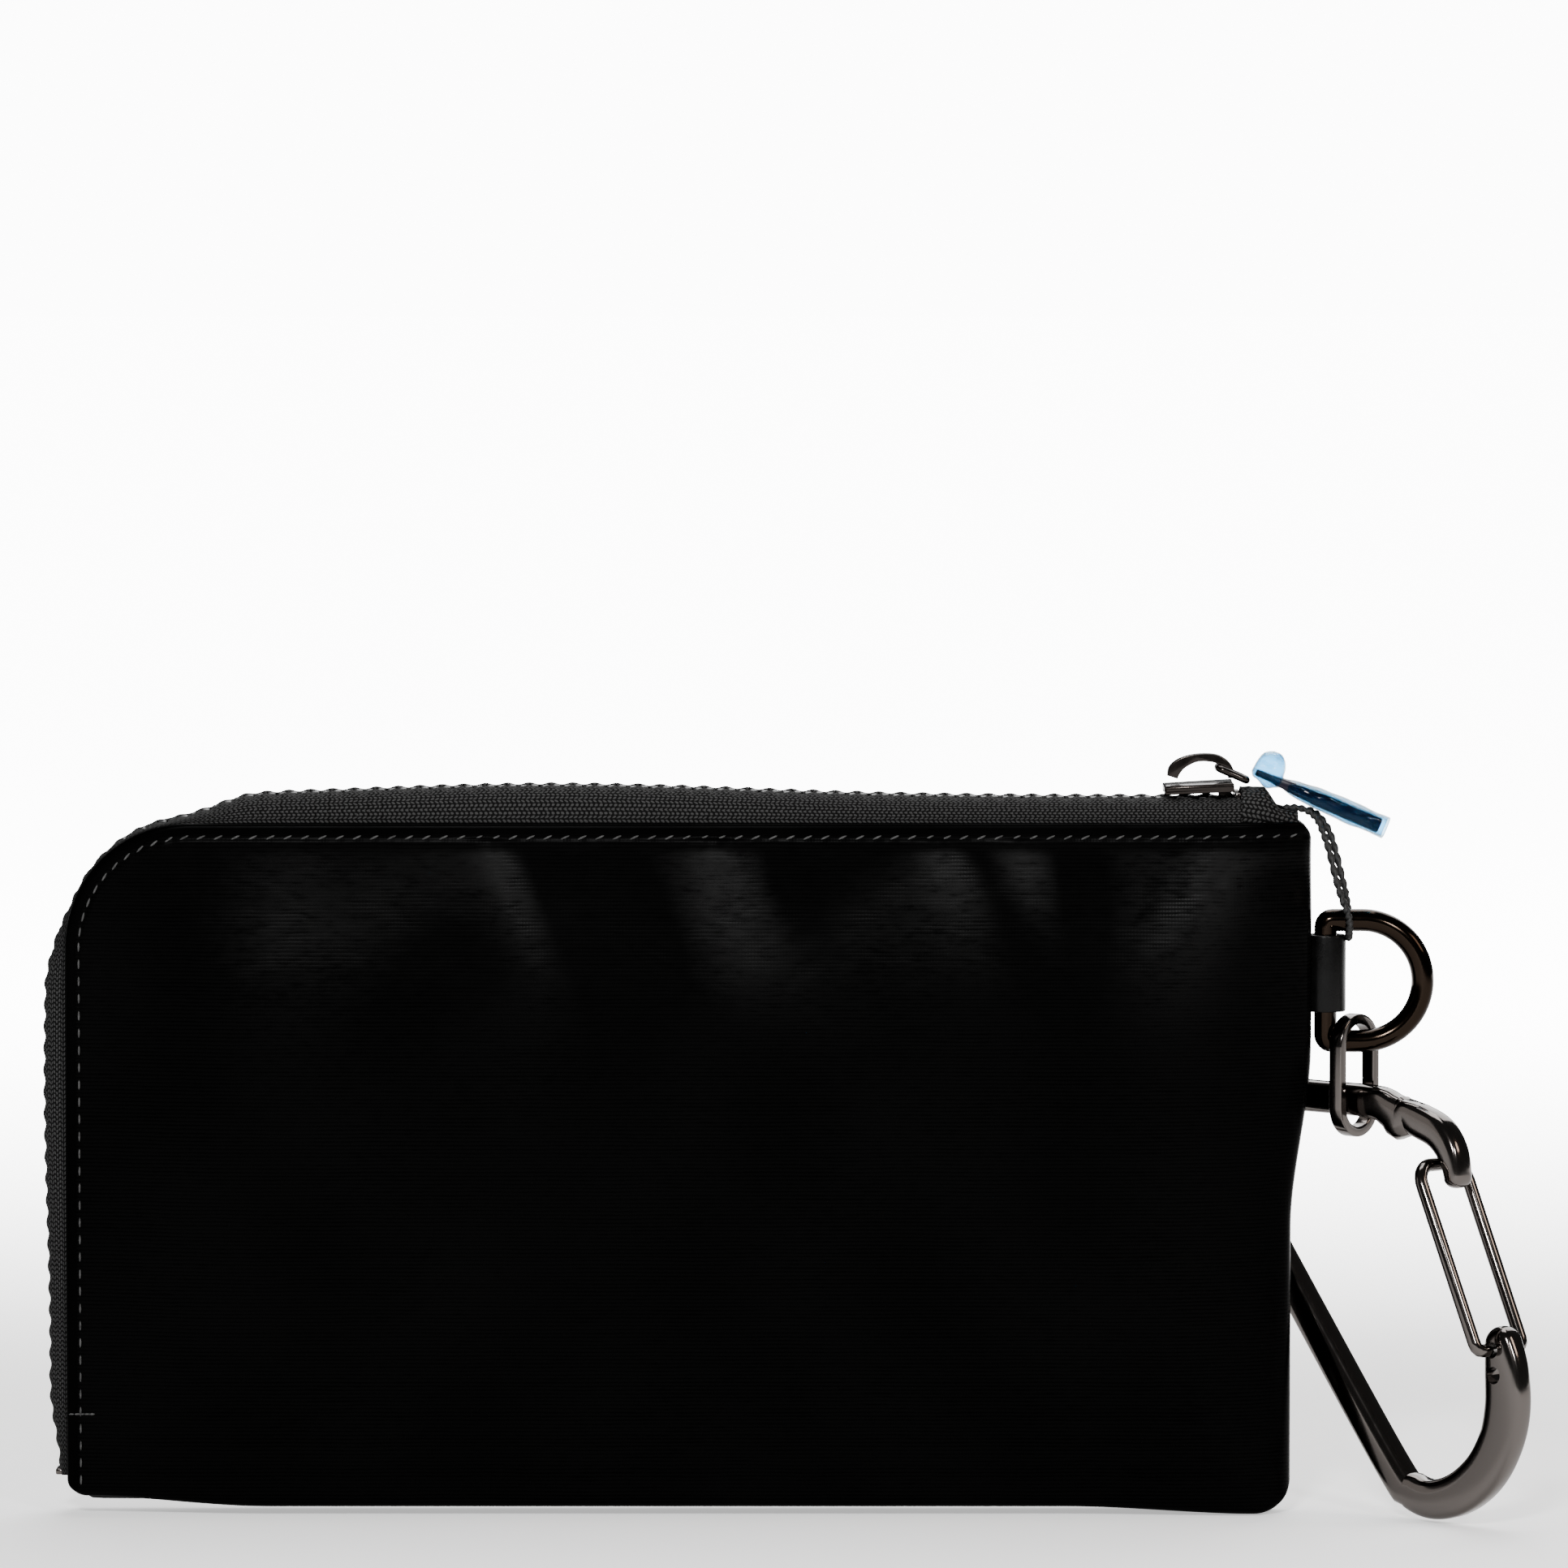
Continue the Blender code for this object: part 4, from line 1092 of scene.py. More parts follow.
@dataclass
class Zip:
    """Two woven tapes and two rows of teeth, cut in stretches along the zip."""

    form: PouchForm
    path: ZipPath
    finishes: Finishes
    slider_length: float
    slider_x0: float
    travel: float
    tape_wall: float = 0.5 * MM
    tape_width: float = 12 * MM
    pitch: float = 3.3 * MM
    reach: float = 1.0 * MM
    back: float = 2.4 * MM
    tooth_height: float = 1.1 * MM
    tooth_width: float = 1.24 * MM
    tooth_drop: float = 0.55 * MM
    parting: float = 1.9 * MM
    scallop: float = 0.34 * MM
    step: float = 0.42 * MM
    open_keep: float = 0.22
    ramp: float = 12 * MM
    steps: int = 6
    under_slider: tuple[float, ...] = (0.78, 0.90)

    def stretches(self) -> list[Stretch]:
        """The whole zip, cut where it opens by different shares."""
        opened = self.path.end_x - (self.slider_x0 - self.travel + self.slider_length)
        full = opened - self.ramp
        found = [Stretch(0.0, full, self.open_keep)]
        for n in range(self.steps):
            keep = self.open_keep + (self.under_slider[0] - self.open_keep) * (n + 1) / (self.steps + 1)
            width = self.ramp / self.steps
            found.append(Stretch(full + n * width, full + (n + 1) * width, keep))
        for n, keep in enumerate(self.under_slider):
            width = 0.3 * self.slider_length
            found.append(Stretch(opened + n * width, opened + (n + 1) * width, keep))
        return found + [Stretch(found[-1].end, self.path.length, 1.0)]

    def spread_at(self, s: float) -> float:
        """How far each row stands aside, round the slider's wedge."""
        inside = self.path.end_x - s - self.slider_x0
        return self.parting * ease(inside / (0.6 * self.slider_length))

    def tape_point(self, side: Side, s: float, t: float) -> Vector:
        """A point of the tape at distance s along and share t across."""
        edge, out, rise = self.path.at(s)
        inner = self.form.half_depth(edge.x, edge.z) - 1.5 * MM
        root = min(self.back + 0.3 * MM + self.spread_at(s), inner - 0.6 * MM)
        bumps = self.scallop * math.sin(math.pi * s / self.pitch) ** 2
        knots = (
            (inner, -4.0 * MM),
            (inner + 0.1 * MM, -0.5 * MM),
            (inner - 0.1 * MM, 0.30 * rise),
            (inner - 0.14 * (inner - root), 0.66 * rise),
            (inner - 0.42 * (inner - root), 0.90 * rise),
            (inner - 0.75 * (inner - root), rise),
            (root, rise),
        )
        spans = len(knots) - 1
        at = clamp(t) * spans
        i = min(int(at), spans - 1)
        local = at - i
        a, b = Vector(knots[max(i - 1, 0)]), Vector(knots[i])
        c, d = Vector(knots[i + 1]), Vector(knots[min(i + 2, spans)])
        bend = (2 * a - 5 * b + 4 * c - d) * local**2 + (3 * b - a - 3 * c + d) * local**3
        y, height = 0.5 * (2 * b + (c - a) * local + bend)
        height += (bumps - 0.5 * self.scallop) * ease((t - 0.55) / 0.2)
        return edge + out * height + Vector((0.0, side.value * y, 0.0))

    def make_tape(self, side: Side, stretch: Stretch, number: int) -> bpy.types.Object:
        """One stretch of one tape, with a UV map in metres."""
        length = stretch.end - stretch.start
        columns = max(2, round(length / self.step))
        bm = grid(columns, 20, lambda u, v: self.tape_point(side, stretch.start + length * u, v))
        uv = bm.loops.layers.uv.verify()
        for face in bm.faces:
            for loop in face.loops:
                u, v = loop[uv].uv
                loop[uv].uv = (stretch.start + length * u, v * self.tape_width)
        face_out(bm, Vector((0, side.value, 0)))
        piece = finish_mesh(f"{side.label}_tape_{number}", bm, self.finishes.tape, flip=False)
        return wall(piece, self.tape_wall)

    def make_teeth(self, side: Side, stretch: Stretch, number: int) -> bpy.types.Object | None:
        """The teeth of one stretch, or None where it has none."""
        shift = 0.5 if side is Side.REAR else 1.0
        bm = bmesh.new()
        count = 0
        for n in range(int((self.path.length - self.pitch) / self.pitch)):
            s = (shift + n + 0.25) * self.pitch
            if not stretch.start <= s < stretch.end or s > self.path.length - self.pitch:
                continue
            edge, out, rise = self.path.at(s)
            forward = Vector((out.z, 0.0, -out.x))
            spread = self.spread_at(s)
            low = Vector((-self.tooth_width / 2, -self.reach, -self.tooth_height / 2))
            high = Vector((self.tooth_width / 2, self.back, self.tooth_height / 2))
            tooth = rounded_box(low, high, 0.3 * MM, 2)
            turn = Matrix((forward, Vector((0, side.value, 0)), out)).transposed().to_4x4()
            where = edge + out * (rise - self.tooth_drop) + Vector((0.0, side.value * spread, 0.0))
            tooth.transform(Matrix.Translation(where) @ turn)
            merge(bm, tooth)
            count += 1
        if not count:
            bm.free()
            return None
        return finish_mesh(f"{side.label}_tooth_row_{number}", bm, self.finishes.teeth)

    def build(self) -> None:
        """Makes both halves with their stops, the foot stop and the tape end."""
        for side in Side:
            for number, stretch in enumerate(self.stretches()):
                made = [(self.make_tape(side, stretch, number), "zip_tape", f"{side.label}_zip_tape")]
                row = self.make_teeth(side, stretch, number)
                if row:
                    made.append((row, "zip_teeth", f"{side.label}_teeth"))
                for piece, slot, node in made:
                    attach(piece, "pouch", slot, node)
                    self.open_with_slider(piece, stretch)
            self.make_stop(side)
        attach(self.make_bottom_stop(), "pouch", "black_nickel", "bottom_stop")
        attach(self.make_end_tab(), "pouch", "zip_tape", "zip_end_tab")

    def open_with_slider(self, piece: bpy.types.Object, stretch: Stretch) -> None:
        """Gives a piece of a stretch that opens behind the slider its own mesh."""
        if stretch.keep < 1:
            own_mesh(piece)

    def make_stop(self, side: Side) -> None:
        """The small metal stop at the top end of one row."""
        low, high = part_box(f"{side.label}_top_stop")
        piece = finish_mesh(f"{side.label}_stop", rounded_box(low, high, 0.22 * MM), self.finishes.nickel)
        attach(piece, "pouch", "black_nickel", f"{side.label}_top_stop")
        self.open_with_slider(piece, Stretch(0, 0, self.open_keep))

    def make_bottom_stop(self) -> bpy.types.Object:
        """The clamp across both rows at the zip's foot."""
        low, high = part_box("bottom_stop")
        return finish_mesh("foot_stop", rounded_box(low, high, 0.25 * MM), self.finishes.nickel)

    def make_end_tab(self) -> bpy.types.Object:
        """The tape ends, folded down and closed between the panels' corners."""
        low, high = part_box("zip_end_tab")
        top = self.form.panel_top

        def place(u: float, v: float) -> Vector:
            x = self.path.end_x - 0.15 * MM + (high.x - self.path.end_x + 0.3 * MM) * u
            fall = ease((x - self.path.end_x - 3.2 * MM) / (2.8 * MM))
            crest = top + 5.0 * MM - 2.9 * MM * fall - 0.5 * MM * ease((u - 0.5) / 0.5)
            half = self.form.half_depth(x, top) - 1.6 * MM
            angle = math.pi * v
            y = -half * math.cos(angle)
            swell = abs(math.sin(angle)) ** 0.45
            grain = noise.noise(Vector((x, y, 0.0)) * 900.0) * 0.12 * MM
            return Vector((x, y, low.z + (crest - low.z) * swell + grain * swell))

        bm = grid(26, 40, place)
        bmesh.ops.holes_fill(bm, edges=[e for e in bm.edges if e.is_boundary], sides=0)
        uv = bm.loops.layers.uv.verify()
        for face in bm.faces:
            for loop in face.loops:
                co = loop.vert.co
                loop[uv].uv = (co.x, co.z * 0.8 + co.y * 0.6)
        return finish_mesh("folded_tape_end", bm, self.finishes.tape)


# --- slider and puller -----------------------------------------------------------------------


@dataclass
class Slider:
    """The slider's lipped body and the arch that holds the puller."""

    finishes: Finishes
    lip: float = 0.5 * MM
    slot: float = 0.75 * MM
    plate_bevel: float = 0.35 * MM
    post_half: float = 0.55 * MM
    tilt: float = math.radians(-3.0)

    def make_body(self) -> bpy.types.Object:
        """Two plates with lips that run over the tapes, and the post between them."""
        low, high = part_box("slider_body")
        middle = (low.z + high.z) / 2
        bm = bmesh.new()
        blocks = []
        for to_z in (-1, 1):
            near = middle + to_z * (self.slot + 0.3 * MM)
            far = high.z if to_z > 0 else low.z
            z0, z1 = sorted((near, far))
            blocks.append((Vector((low.x, low.y, z0)), Vector((high.x, high.y, z1)), self.plate_bevel))
            for to_y in (-1, 1):
                outer = to_y * high.y
                inner = outer - to_y * self.lip
                z0, z1 = sorted((middle + to_z * self.slot, far))
                y0, y1 = sorted((inner, outer))
                blocks.append((Vector((low.x, y0, z0)), Vector((high.x, y1, z1)), 0.18 * MM))
        post_low = Vector((high.x - 2.3 * MM, -self.post_half, middle - 1.2 * MM))
        post_high = Vector((high.x - 0.3 * MM, self.post_half, middle + 1.2 * MM))
        blocks.append((post_low, post_high, 0.2 * MM))
        for start, end, bevel in blocks:
            merge(bm, rounded_box(start, end, bevel, 3))
        for vert in bm.verts:
            nose = clamp((low.x + 2.4 * MM - vert.co.x) / (2.4 * MM))
            vert.co.y *= 1 - 0.24 * nose * nose
        tilt = Matrix.Rotation(self.tilt, 4, "Y")
        pivot = Matrix.Translation((low + high) / 2)
        bm.transform(pivot @ tilt @ pivot.inverted())
        return sharpen(finish_mesh("slider_shell", bm, self.finishes.dark_nickel), 40.0)

    def make_arch(self) -> bpy.types.Object:
        """The arch: a flat strip that rises from the nose and closes down behind the eye."""
        low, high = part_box("slider_bridge")
        axis_x, axis_z = high.x - 0.75 * MM, high.z - 2.75 * MM
        knots = (
            (axis_x - 8.7 * MM, axis_z - 0.7 * MM, 0.80 * MM),
            (axis_x - 8.3 * MM, axis_z + 0.4 * MM, 0.95 * MM),
            (axis_x - 7.1 * MM, axis_z + 1.45 * MM, 0.80 * MM),
            (axis_x - 4.9 * MM, axis_z + 2.2 * MM, 0.58 * MM),
            (axis_x - 2.3 * MM, axis_z + 2.1 * MM, 0.62 * MM),
            (axis_x - 0.7 * MM, axis_z + 1.2 * MM, 0.66 * MM),
            (axis_x + 0.1 * MM, axis_z + 0.1 * MM, 0.50 * MM),
            (axis_x + 0.2 * MM, low.z + 0.1 * MM, 0.50 * MM),
        )
        outline = ribbon(smooth_path(knots, 6))
        return plate("slider_arch", outline, (high.y - low.y) / 2, 0.22 * MM, upright(0.0, 0.0),
                     self.finishes.dark_nickel)

    def build(self) -> None:
        """Makes the slider's two pieces."""
        attach(self.make_body(), "slider", "black_nickel", "slider_body")
        attach(self.make_arch(), "slider", "black_nickel", "slider_bridge")


def ribbon(path: Sequence[Vector]) -> Outline:
    """The outline of a strip that follows path, whose third number is its half width."""
    sides: dict[int, Outline] = {1: [], -1: []}
    for i, point in enumerate(path):
        heading = path[min(i + 1, len(path) - 1)] - path[max(i - 1, 0)]
        heading.z = 0.0
        heading.normalize()
        for side, points in sides.items():
            points.append((point.x - side * heading.y * point.z, point.y + side * heading.x * point.z))
    return sides[1] + sides[-1][::-1]


@dataclass
class Puller:
    """The eye, the slim bar and the knotted film sleeve, drooping from the slider's arch."""

    finishes: Finishes
    axis: Vector
    droop: float = math.radians(23.4)
    wire: float = 0.56 * MM
    bar_start: float = 3.4 * MM
    bar_end: float = 23.8 * MM
    lift: float = 1.65 * MM

    @property
    def stance(self) -> Matrix:
        """The puller's own frame, drooped."""
        return Matrix.Translation(self.axis) @ Matrix.Rotation(self.droop, 4, "Y")

    def make_eye(self) -> bpy.types.Object:
        """The wire loop round the arch."""
        corner, half, back, front = 0.8 * MM, 2.1 * MM, 2.0 * MM, 2.6 * MM
        loop: list[Vector] = []
        centres = ((front, half, 0), (-back, half, 90), (-back, -half, 180), (front, -half, 270))
        for x, y, start in centres:
            centre = (x - math.copysign(corner, x), y - math.copysign(corner, y))
            loop += [Vector((px, py, 0.0)) for px, py in arc(centre, corner, start, start + 90, 6)]
        return tube("eye_wire", [self.stance @ p for p in loop], self.wire, self.finishes.dark_nickel,
                    closed=True, sides=12)

    def make_bar(self) -> bpy.types.Object:
        """The bar, slim at the eye and fuller towards its square tip."""
        low = Vector((self.bar_start, -2.2 * MM, self.lift - 1.2 * MM))
        high = Vector((self.bar_end, 2.2 * MM, self.lift + 1.2 * MM))
        bm = rounded_box(low, high, 0.45 * MM, 3)
        cuts = [self.bar_start + (self.bar_end - self.bar_start) * share for share in (0.12, 0.3, 0.5, 0.75)]
        for x in cuts:
            geometry = bm.verts[:] + bm.edges[:] + bm.faces[:]
            bmesh.ops.bisect_plane(bm, geom=geometry, plane_co=(x, 0, 0), plane_no=(1, 0, 0))
        for vert in bm.verts:
            along = clamp((vert.co.x - self.bar_start) / (self.bar_end - self.bar_start))
            slim = 0.42 + 0.58 * ease(along / 0.62)
            vert.co.z = self.lift + (vert.co.z - self.lift) * slim
            vert.co.y *= 0.55 + 0.45 * ease(along / 0.35)
        bm.transform(self.stance)
        return sharpen(finish_mesh("puller_blade", bm, self.finishes.blade), 40.0)

    def make_film(self) -> bpy.types.Object:
        """The film sleeve: gathered in a knot by the eye, flat and creased along the bar."""
        start, end = self.bar_start - 0.5 * MM, self.bar_end + 1.0 * MM

        def place(u: float, v: float) -> Vector:
            x = start + (end - start) * u
            angle = math.tau * v
            knot = math.sqrt(max(0.0, 1 - ((u - 0.105) / 0.105) ** 2))
            waist = bell((u - 0.235) / 0.04)
            closed = bow(u / 0.03)
            half_y = (1.2 * MM + 1.55 * MM * ease(u / 0.45)) * (1 - 0.25 * waist) + 0.9 * MM * knot
            half_z = (0.7 * MM + 0.9 * MM * ease((u - 0.1) / 0.5)) * (1 - 0.2 * waist) + 2.0 * MM * knot
            crease = noise.noise(Vector((x * 420, math.cos(angle) * 1.3, math.sin(angle) * 1.3)))
            factor = (1 + crease * (0.22 * knot + 0.10)) * closed
            flat, tall = squared(angle, 0.7 + 0.3 * knot)
            middle = self.lift + 1.5 * MM * knot
            return Vector((x, flat * half_y * factor, middle + tall * half_z * factor))

        bm = grid(100, 40, place)
        bmesh.ops.remove_doubles(bm, verts=bm.verts, dist=0.01 * MM)
        bm.transform(self.stance)
        piece = finish_mesh("film_sleeve", bm, self.finishes.film)
        return wall(piece, 0.12 * MM, 1.0)

    def build(self) -> None:
        """Makes the puller's three pieces."""
        attach(self.make_eye(), "puller", "black_nickel", "puller_eye")
        attach(self.make_bar(), "puller", "black_nickel", "puller_bar")
        attach(self.make_film(), "puller", "blue_film", "puller_film")


# --- ring, link, carabiner -------------------------------------------------------------------


@dataclass
class SeamHardware:
    """The strap tab in the side seam, the D-ring in it and the oval link below."""

    finishes: Finishes
    form: PouchForm
    wire: float = 1.7 * MM
    radius: float = 9.15 * MM
    stub: float = 5.5 * MM
    link_turn: float = math.radians(40)
    link_wall: float = 1.5 * MM
    link_half: float = 4.1 * MM
    link_thick: float = 2.3 * MM
    ply: float = 1.1 * MM

    def make_ring(self) -> bpy.types.Object:
        """The D-ring's round wire."""
        low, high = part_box("d_ring")
        bar_x, middle = low.x + self.wire, (low.z + high.z) / 2
        bottom, top = middle - self.radius, middle + self.radius
        corner = 1.0 * MM
        loop = arc((bar_x + corner, bottom + corner), corner, 180, 270, 6)
        loop += [(bar_x + corner + (self.stub - corner) * t / 4, bottom) for t in range(1, 4)]
        loop += arc((bar_x + self.stub, middle), self.radius, -90, 90, 48)
        loop += [(bar_x + self.stub - (self.stub - corner) * t / 4, top) for t in range(1, 4)]
        loop += arc((bar_x + corner, top - corner), corner, 90, 180, 6)
        path = [Vector((x, 0.0, z)) for x, z in loop]
        return tube("ring_wire", path, self.wire, self.finishes.bronze, closed=True, sides=24)

    def make_tab(self) -> bpy.types.Object:
        """The strap, folded round the ring's bar, with its plies pressed into the seam."""
        low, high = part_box("ring_tab")
        outer = self.wire + 0.3 * MM + self.ply
        centre = high.x - outer
        inner = outer - self.ply
        meet = math.degrees(math.asin(self.ply / outer))
        outline = arc((centre, 0.0), outer, -180 + meet, 180 - meet, 40)
        outline += [(low.x, self.ply), (low.x, -self.ply)]
        hole = arc((centre, 0.0), inner, -180 + meet, 180 - meet, 40)
        hole += [(centre - inner, 0.1 * MM), (centre - inner, -0.1 * MM)]
        top = high.z + 1.3 * MM
        frame_at = Matrix.Translation((0.0, 0.0, (low.z + top) / 2))
        half = (top - low.z) / 2
        return plate("strap_tab", outline, half, 0.25 * MM, frame_at, self.finishes.leather, hole)

    def make_link(self) -> bpy.types.Object:
        """The flat oval link."""
        low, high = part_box("oval_link")
        middle_x = (low.x + high.x) / 2
        outlines = []
        for grow in (self.link_wall / 2, -self.link_wall / 2):
            half = self.link_half + grow
            drop = 0.0 if grow > 0 else self.link_wall
            top, bottom = high.z - drop - half, low.z + drop + half
            outlines.append(arc((0.0, top), half, 0, 180, 28) + arc((0.0, bottom), half, 180, 360, 28))
        frame_at = upright(middle_x, self.link_turn - math.pi / 2)
        return plate("link_loop", outlines[0], self.link_thick / 2, 0.25 * MM, frame_at,
                     self.finishes.nickel, outlines[1])

    def build(self) -> None:
        """Makes the tab, the ring and the link."""
        attach(self.make_tab(), "pouch", "smooth_leather", "ring_tab")
        attach(self.make_ring(), "ring", "dark_bronze", "d_ring")
        attach(self.make_link(), "link", "black_nickel", "oval_link")


@dataclass
class Carabiner:
    """The carabiner's plate body and its sprung wire gate."""

    finishes: Finishes
    turn: float = math.radians(45)
    half_thick: float = 2.1 * MM
    squareness: float = 0.62
    end_steps: tuple[float, float] = (0.08, 0.012)
    gate_wire: float = 1.0 * MM
    gate_half: float = 5.2 * MM
    pivot: tuple[float, float] = (29.4 * MM, 27.2 * MM)
    tip: tuple[float, float] = (17.2 * MM, 54.0 * MM)
    spare_hole: tuple[float, float] = (29.9 * MM, 23.4 * MM)
    knots: tuple[tuple[float, float, float], ...] = (
        (20.9, 50.6, 1.4), (20.8, 53.0, 1.7), (19.7, 56.2, 2.2), (17.2, 58.8, 2.5), (13.0, 60.4, 2.5),
        (11.4, 61.2, 2.1), (9.9, 60.35, 3.3), (8.0, 61.3, 2.7), (4.5, 62.4, 2.5), (-6.0, 62.5, 2.4),
        (-22.5, 62.2, 2.5), (-27.5, 60.4, 2.6),
        (-29.2, 57.0, 2.6), (-26.2, 52.0, 2.5), (-8.3, 28.7, 2.5), (8.8, 7.0, 2.6), (12.5, 4.2, 2.8),
        (17.0, 3.4, 3.0), (22.2, 5.0, 3.3), (26.8, 8.6, 3.5), (29.8, 13.5, 3.6), (31.0, 18.5, 3.7),
        (30.8, 24.0, 3.5), (30.1, 28.0, 2.8), (29.4, 30.6, 2.2),
    )

    @property
    def stance(self) -> Matrix:
        """The plane that the carabiner hangs in, through the link's middle."""
        low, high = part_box("oval_link")
        return upright((low.x + high.x) / 2, self.turn)

    def make_body(self) -> bpy.types.Object:
        """The body with rounded rims, and the gate's two holes bored through it."""
        path = smooth_path([[value * MM for value in knot] for knot in self.knots], 12)
        spans = [(Vector(b[:2]) - Vector(a[:2])).length for a, b in zip(path, path[1:])]
        marks = [sum(spans[:i]) for i in range(len(path))]

        def place(u: float, v: float) -> Vector:
            s = marks[-1] * crowded(u, self.end_steps, self.end_steps)
            i = min(max(bisect_right(marks, s) - 1, 0), len(spans) - 1)
            point = path[i].lerp(path[i + 1], clamp((s - marks[i]) / spans[i]))
            ahead = path[min(i + 2, len(path) - 1)] - path[max(i - 1, 0)]
            aside = Vector((-ahead.y, ahead.x)).normalized()
            full = bow(min(s, marks[-1] - s) / (0.9 * point.z))
            wide, deep = squared(math.tau * v, self.squareness)
            wide *= point.z * full
            deep *= self.half_thick * full
            return self.stance @ Vector((point.x + aside.x * wide, point.y + aside.y * wide, deep))

        bm = grid(330, 40, place)
        bmesh.ops.remove_doubles(bm, verts=bm.verts, dist=0.002 * MM)
        body = finish_mesh("carabiner_frame", bm, self.finishes.nickel)
        for number, centre in enumerate((self.pivot, self.spare_hole)):
            drill = bmesh.new()
            radius = self.gate_wire + 0.3 * MM
            bmesh.ops.create_cone(drill, cap_ends=True, segments=24, radius1=radius, radius2=radius,
                                  depth=4 * self.half_thick, matrix=Matrix.Translation((*centre, 0.0)))
            drill.transform(self.stance)
            cutter = finish_mesh(f"drill_{number}", drill, self.finishes.nickel)
            cut = body.modifiers.new("bore", "BOOLEAN")
            cut.operation, cut.object, cut.solver = "DIFFERENCE", cutter, "EXACT"
            bpy.context.view_layer.update()
            graph = bpy.context.evaluated_depsgraph_get()
            bored = bpy.data.meshes.new_from_object(body.evaluated_get(graph))
            body.modifiers.clear()
            body.data = bored
            bpy.data.objects.remove(cutter)
        return sharpen(body, 40.0)

    def make_gate(self) -> bpy.types.Object:
        """The wire gate: two legs from the bore and a round loop lying under the nose."""
        foot, top = Vector((*self.pivot, 0.0)), Vector((*self.tip, 0.0))
        heading = (top - foot).normalized()
        half, bend, shoulder = self.gate_half, 1.2 * MM, 3.0 * MM
        side = [foot + Vector((0, 0, 0.6 * MM)), foot + Vector((0, 0, half - bend))]
        for degrees in (30, 60, 90):
            angle = math.radians(degrees)
            out = Vector((0, 0, half - bend + bend * math.sin(angle)))
            side.append(foot + out + heading * bend * (1 - math.cos(angle)))
        for degrees in range(0, 91, 10):
            angle = math.radians(degrees)
            side.append(top - heading * shoulder * (1 - math.sin(angle))
                        + Vector((0, 0, half - shoulder * (1 - math.cos(angle)))))
        loop = side + [Vector((p.x, p.y, -p.z)) for p in reversed(side)]
        return tube("gate_wire", [self.stance @ p for p in loop], self.gate_wire, self.finishes.nickel)

    def build(self) -> None:
        """Makes the body and the gate."""
        attach(self.make_body(), "carabiner", "black_nickel", "carabiner_body")
        attach(self.make_gate(), "gate", "black_nickel", "carabiner_gate")


# --- the tag cord ----------------------------------------------------------------------------


@dataclass
class TagCord:
    """A thin twisted cord looped through the ring's top, both ends tucked over the zip's end."""

    material: bpy.types.Material
    diameter: float = 1.1 * MM
    lay: float = 2.6 * MM
    knots: tuple[tuple[float, float, float], ...] = (
        (0.0900, -0.0006, 0.1064),
        (0.0922, -0.0006, 0.1067),
        (0.0943, -0.0007, 0.1063),
        (0.0959, -0.0008, 0.1050),
        (0.0969, -0.0007, 0.1028),
        (0.0978, -0.0007, 0.1001),
        (0.0987, -0.0008, 0.0964),
        (0.0996, -0.0016, 0.0933),
        (0.1005, -0.0026, 0.0910),
        (0.1008, -0.0027, 0.0893),
        (0.1008, -0.0019, 0.0877),
        (0.1008, 0.0000, 0.0870),
        (0.1009, 0.0019, 0.0877),
        (0.1010, 0.0027, 0.0893),
        (0.1008, 0.0024, 0.0912),
        (0.1004, 0.0014, 0.0935),
        (0.0997, 0.0006, 0.0964),
        (0.0988, 0.0007, 0.1001),
        (0.0978, 0.0007, 0.1031),
        (0.0963, 0.0008, 0.1053),
        (0.0945, 0.0008, 0.1064),
    )

    def build(self) -> None:
        """Makes the cord as two strands twisted round each other."""
        path = smooth_path(self.knots, 12)
        length = sum((b - a).length for a, b in zip(path, path[1:]))
        turns = length / self.lay

        def strands(share: float, angle: float) -> float:
            return 0.80 + 0.20 * math.cos(2 * (angle - math.tau * turns * share))

        piece = tube("twisted_cord", path, self.diameter / 2 * 1.08, self.material, section=strands)
        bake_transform(piece)
        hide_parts("tag_cord")
        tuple(self.knots[0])
        LOG.info("twisted_cord is %.1f mm long", length / MM)


# --- studio ----------------------------------------------------------------------------------


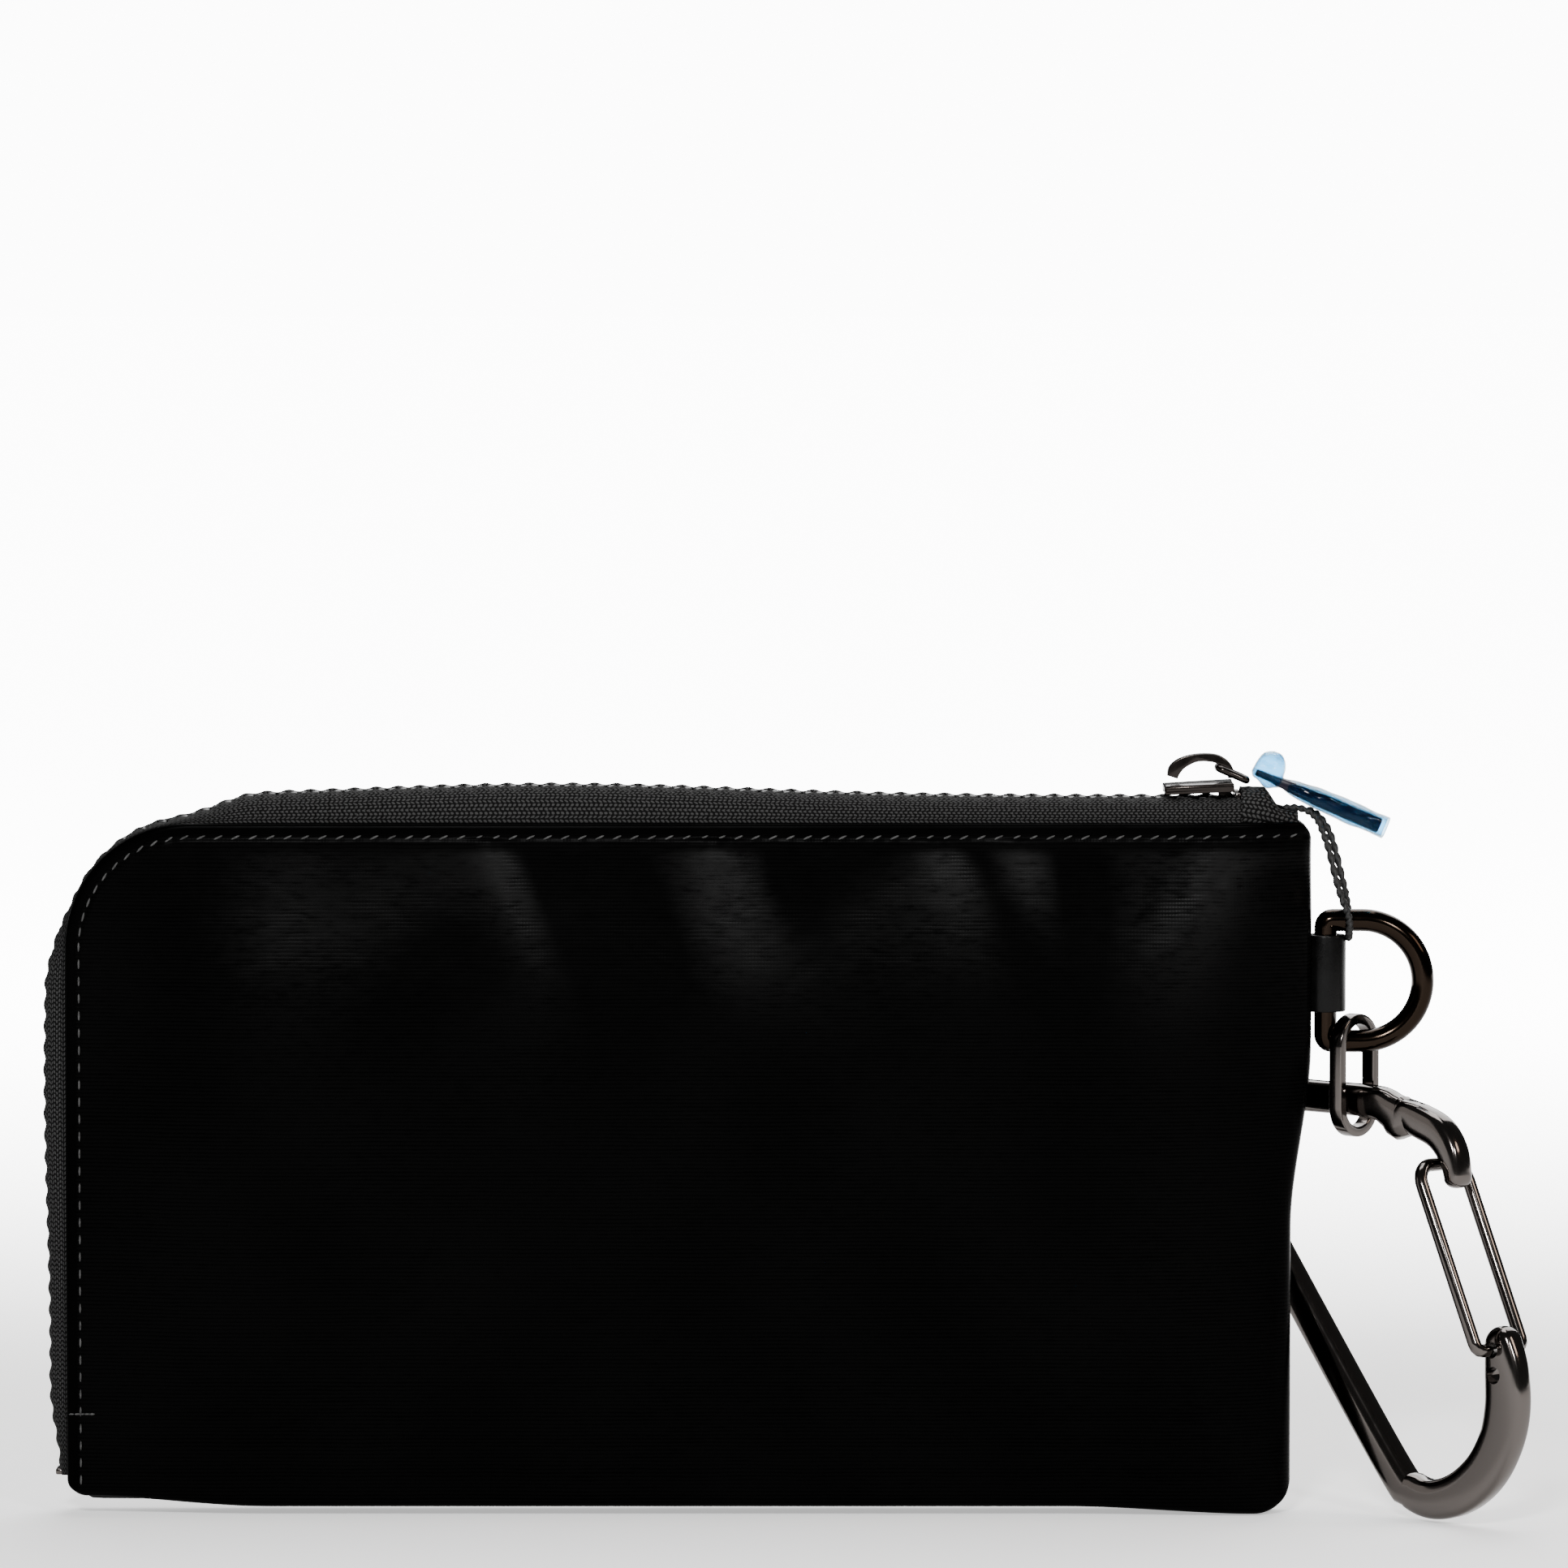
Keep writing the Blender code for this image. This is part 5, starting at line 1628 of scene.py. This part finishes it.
@dataclass
class Studio:
    """The pale floor, the soft lights and the camera."""

    finishes: Finishes
    target: Vector = field(default_factory=lambda: Vector((15.7 * MM, 0.0, 110.2 * MM)))
    distance: float = 1.6
    elevation: float = math.radians(4)
    frame_width: float = 236.1 * MM
    sensor: float = 36.0
    middle: Vector = field(default_factory=lambda: Vector((0.0, 0.0, 0.06)))
    backdrop: float = 12.0
    air: float = 0.07
    floor_size: float = 7.0

    def make_floor(self) -> None:
        """A wide sheet of pale paper."""
        bm = bmesh.new()
        bmesh.ops.create_grid(bm, x_segments=8, y_segments=8, size=self.floor_size)
        bmesh.ops.translate(bm, vec=(0, 0, -0.2 * MM), verts=bm.verts)
        floor = finish_mesh("studio_floor", bm, self.finishes.floor)

    def make_light(self, name: str, place: Vector, size: float, power: float,
                   tint: Colour = (1, 1, 1)) -> None:
        """A soft square light.

        Args:
            name: The light's name.
            place: Where it hangs.
            size: Its side in metres.
            power: Its power in watts.
            tint: Its colour.
        """
        data = bpy.data.lights.new(name, "AREA")
        data.shape = "SQUARE"
        data.size = size
        data.energy = power
        data.color = tint
        light = bpy.data.objects.new(name, data)
        light.location = place
        light.rotation_euler = (place - self.middle).to_track_quat("Z", "Y").to_euler()
        bpy.context.scene.collection.objects.link(light)

    def make_world(self) -> None:
        """A pale backdrop for the eye, and a dimmer one for the light that it gives."""
        world = bpy.data.worlds.new("studio_air")
        world.use_nodes = True
        tree = world.node_tree
        shade = tree.nodes["Background"]
        shade.inputs["Color"].default_value = (1.0,) * 4
        seen = tree.nodes.new("ShaderNodeLightPath")
        level = tree.nodes.new("ShaderNodeMapRange")
        level.inputs["To Min"].default_value = self.air
        level.inputs["To Max"].default_value = self.backdrop
        tree.links.new(seen.outputs["Is Camera Ray"], level.inputs["Value"])
        tree.links.new(level.outputs[0], shade.inputs["Strength"])
        bpy.context.scene.world = world

    def make_camera(self) -> None:
        """A long lens, a little above the pouch."""
        data = bpy.data.cameras.new("camera")
        data.sensor_width = self.sensor
        data.lens = self.sensor * self.distance / self.frame_width
        camera = bpy.data.objects.new("camera", data)
        away = Vector((0.0, -math.cos(self.elevation), math.sin(self.elevation)))
        camera.location = self.target + away * self.distance
        camera.rotation_euler = away.to_track_quat("Z", "Y").to_euler()
        bpy.context.scene.collection.objects.link(camera)
        bpy.context.scene.camera = camera

    def build(self) -> None:
        """Sets up the studio."""
        self.make_camera()
        self.make_floor()
        self.make_world()
        lights = (
            ("key_front", (-0.20, -1.5, 0.80), 0.20, 26.0, (1.0, 1.0, 1.0)),
            ("fill_front", (0.62, -1.4, 0.75), 0.20, 12.0, (1.0, 1.0, 1.0)),
            ("top_card", (0.0, 0.25, 1.1), 0.7, 11.0, (1.0, 1.0, 1.0)),
            ("left_card", (-1.1, 0.0, 0.25), 0.7, 1.5, (1.0, 0.96, 0.93)),
            ("back_card", (0.3, 1.0, 0.9), 1.0, 14.0, (1.0, 1.0, 1.0)),
            ("right_card", (0.75, -0.25, 0.45), 0.22, 1.4, (1.0, 0.80, 0.66)),
        )
        for name, place, size, power, tint in lights:
            self.make_light(name, Vector(place), size, power, tint)


def main() -> None:
    """Builds every sub-assembly and the studio, in order."""
    logging.basicConfig(level=logging.INFO, format="%(name)s: %(message)s")
    finishes = Finishes()
    Studio(finishes).build()
    form = PouchForm.from_frame()
    slider_low, slider_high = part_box("slider_body")
    path = ZipPath(form, end_x=slider_high.x + 1.1 * MM)
    travel = next(j["range_m"][1] for j in frame["joints"] if j["name"] == "slider_slide")
    TagCord(finishes.cord).build()
    Shell(form, finishes).build()
    Topstitch(form, path, finishes.thread).build()
    Zip(form, path, finishes, slider_high.x - slider_low.x, slider_low.x, travel).build()
    Slider(finishes).build()
    Puller(finishes, Vector((slider_high.x - 0.5 * MM, 0.0, slider_high.z + 1.5 * MM))).build()
    SeamHardware(finishes, form).build()
    Carabiner(finishes).build()


if __name__ == "__main__":
    main()
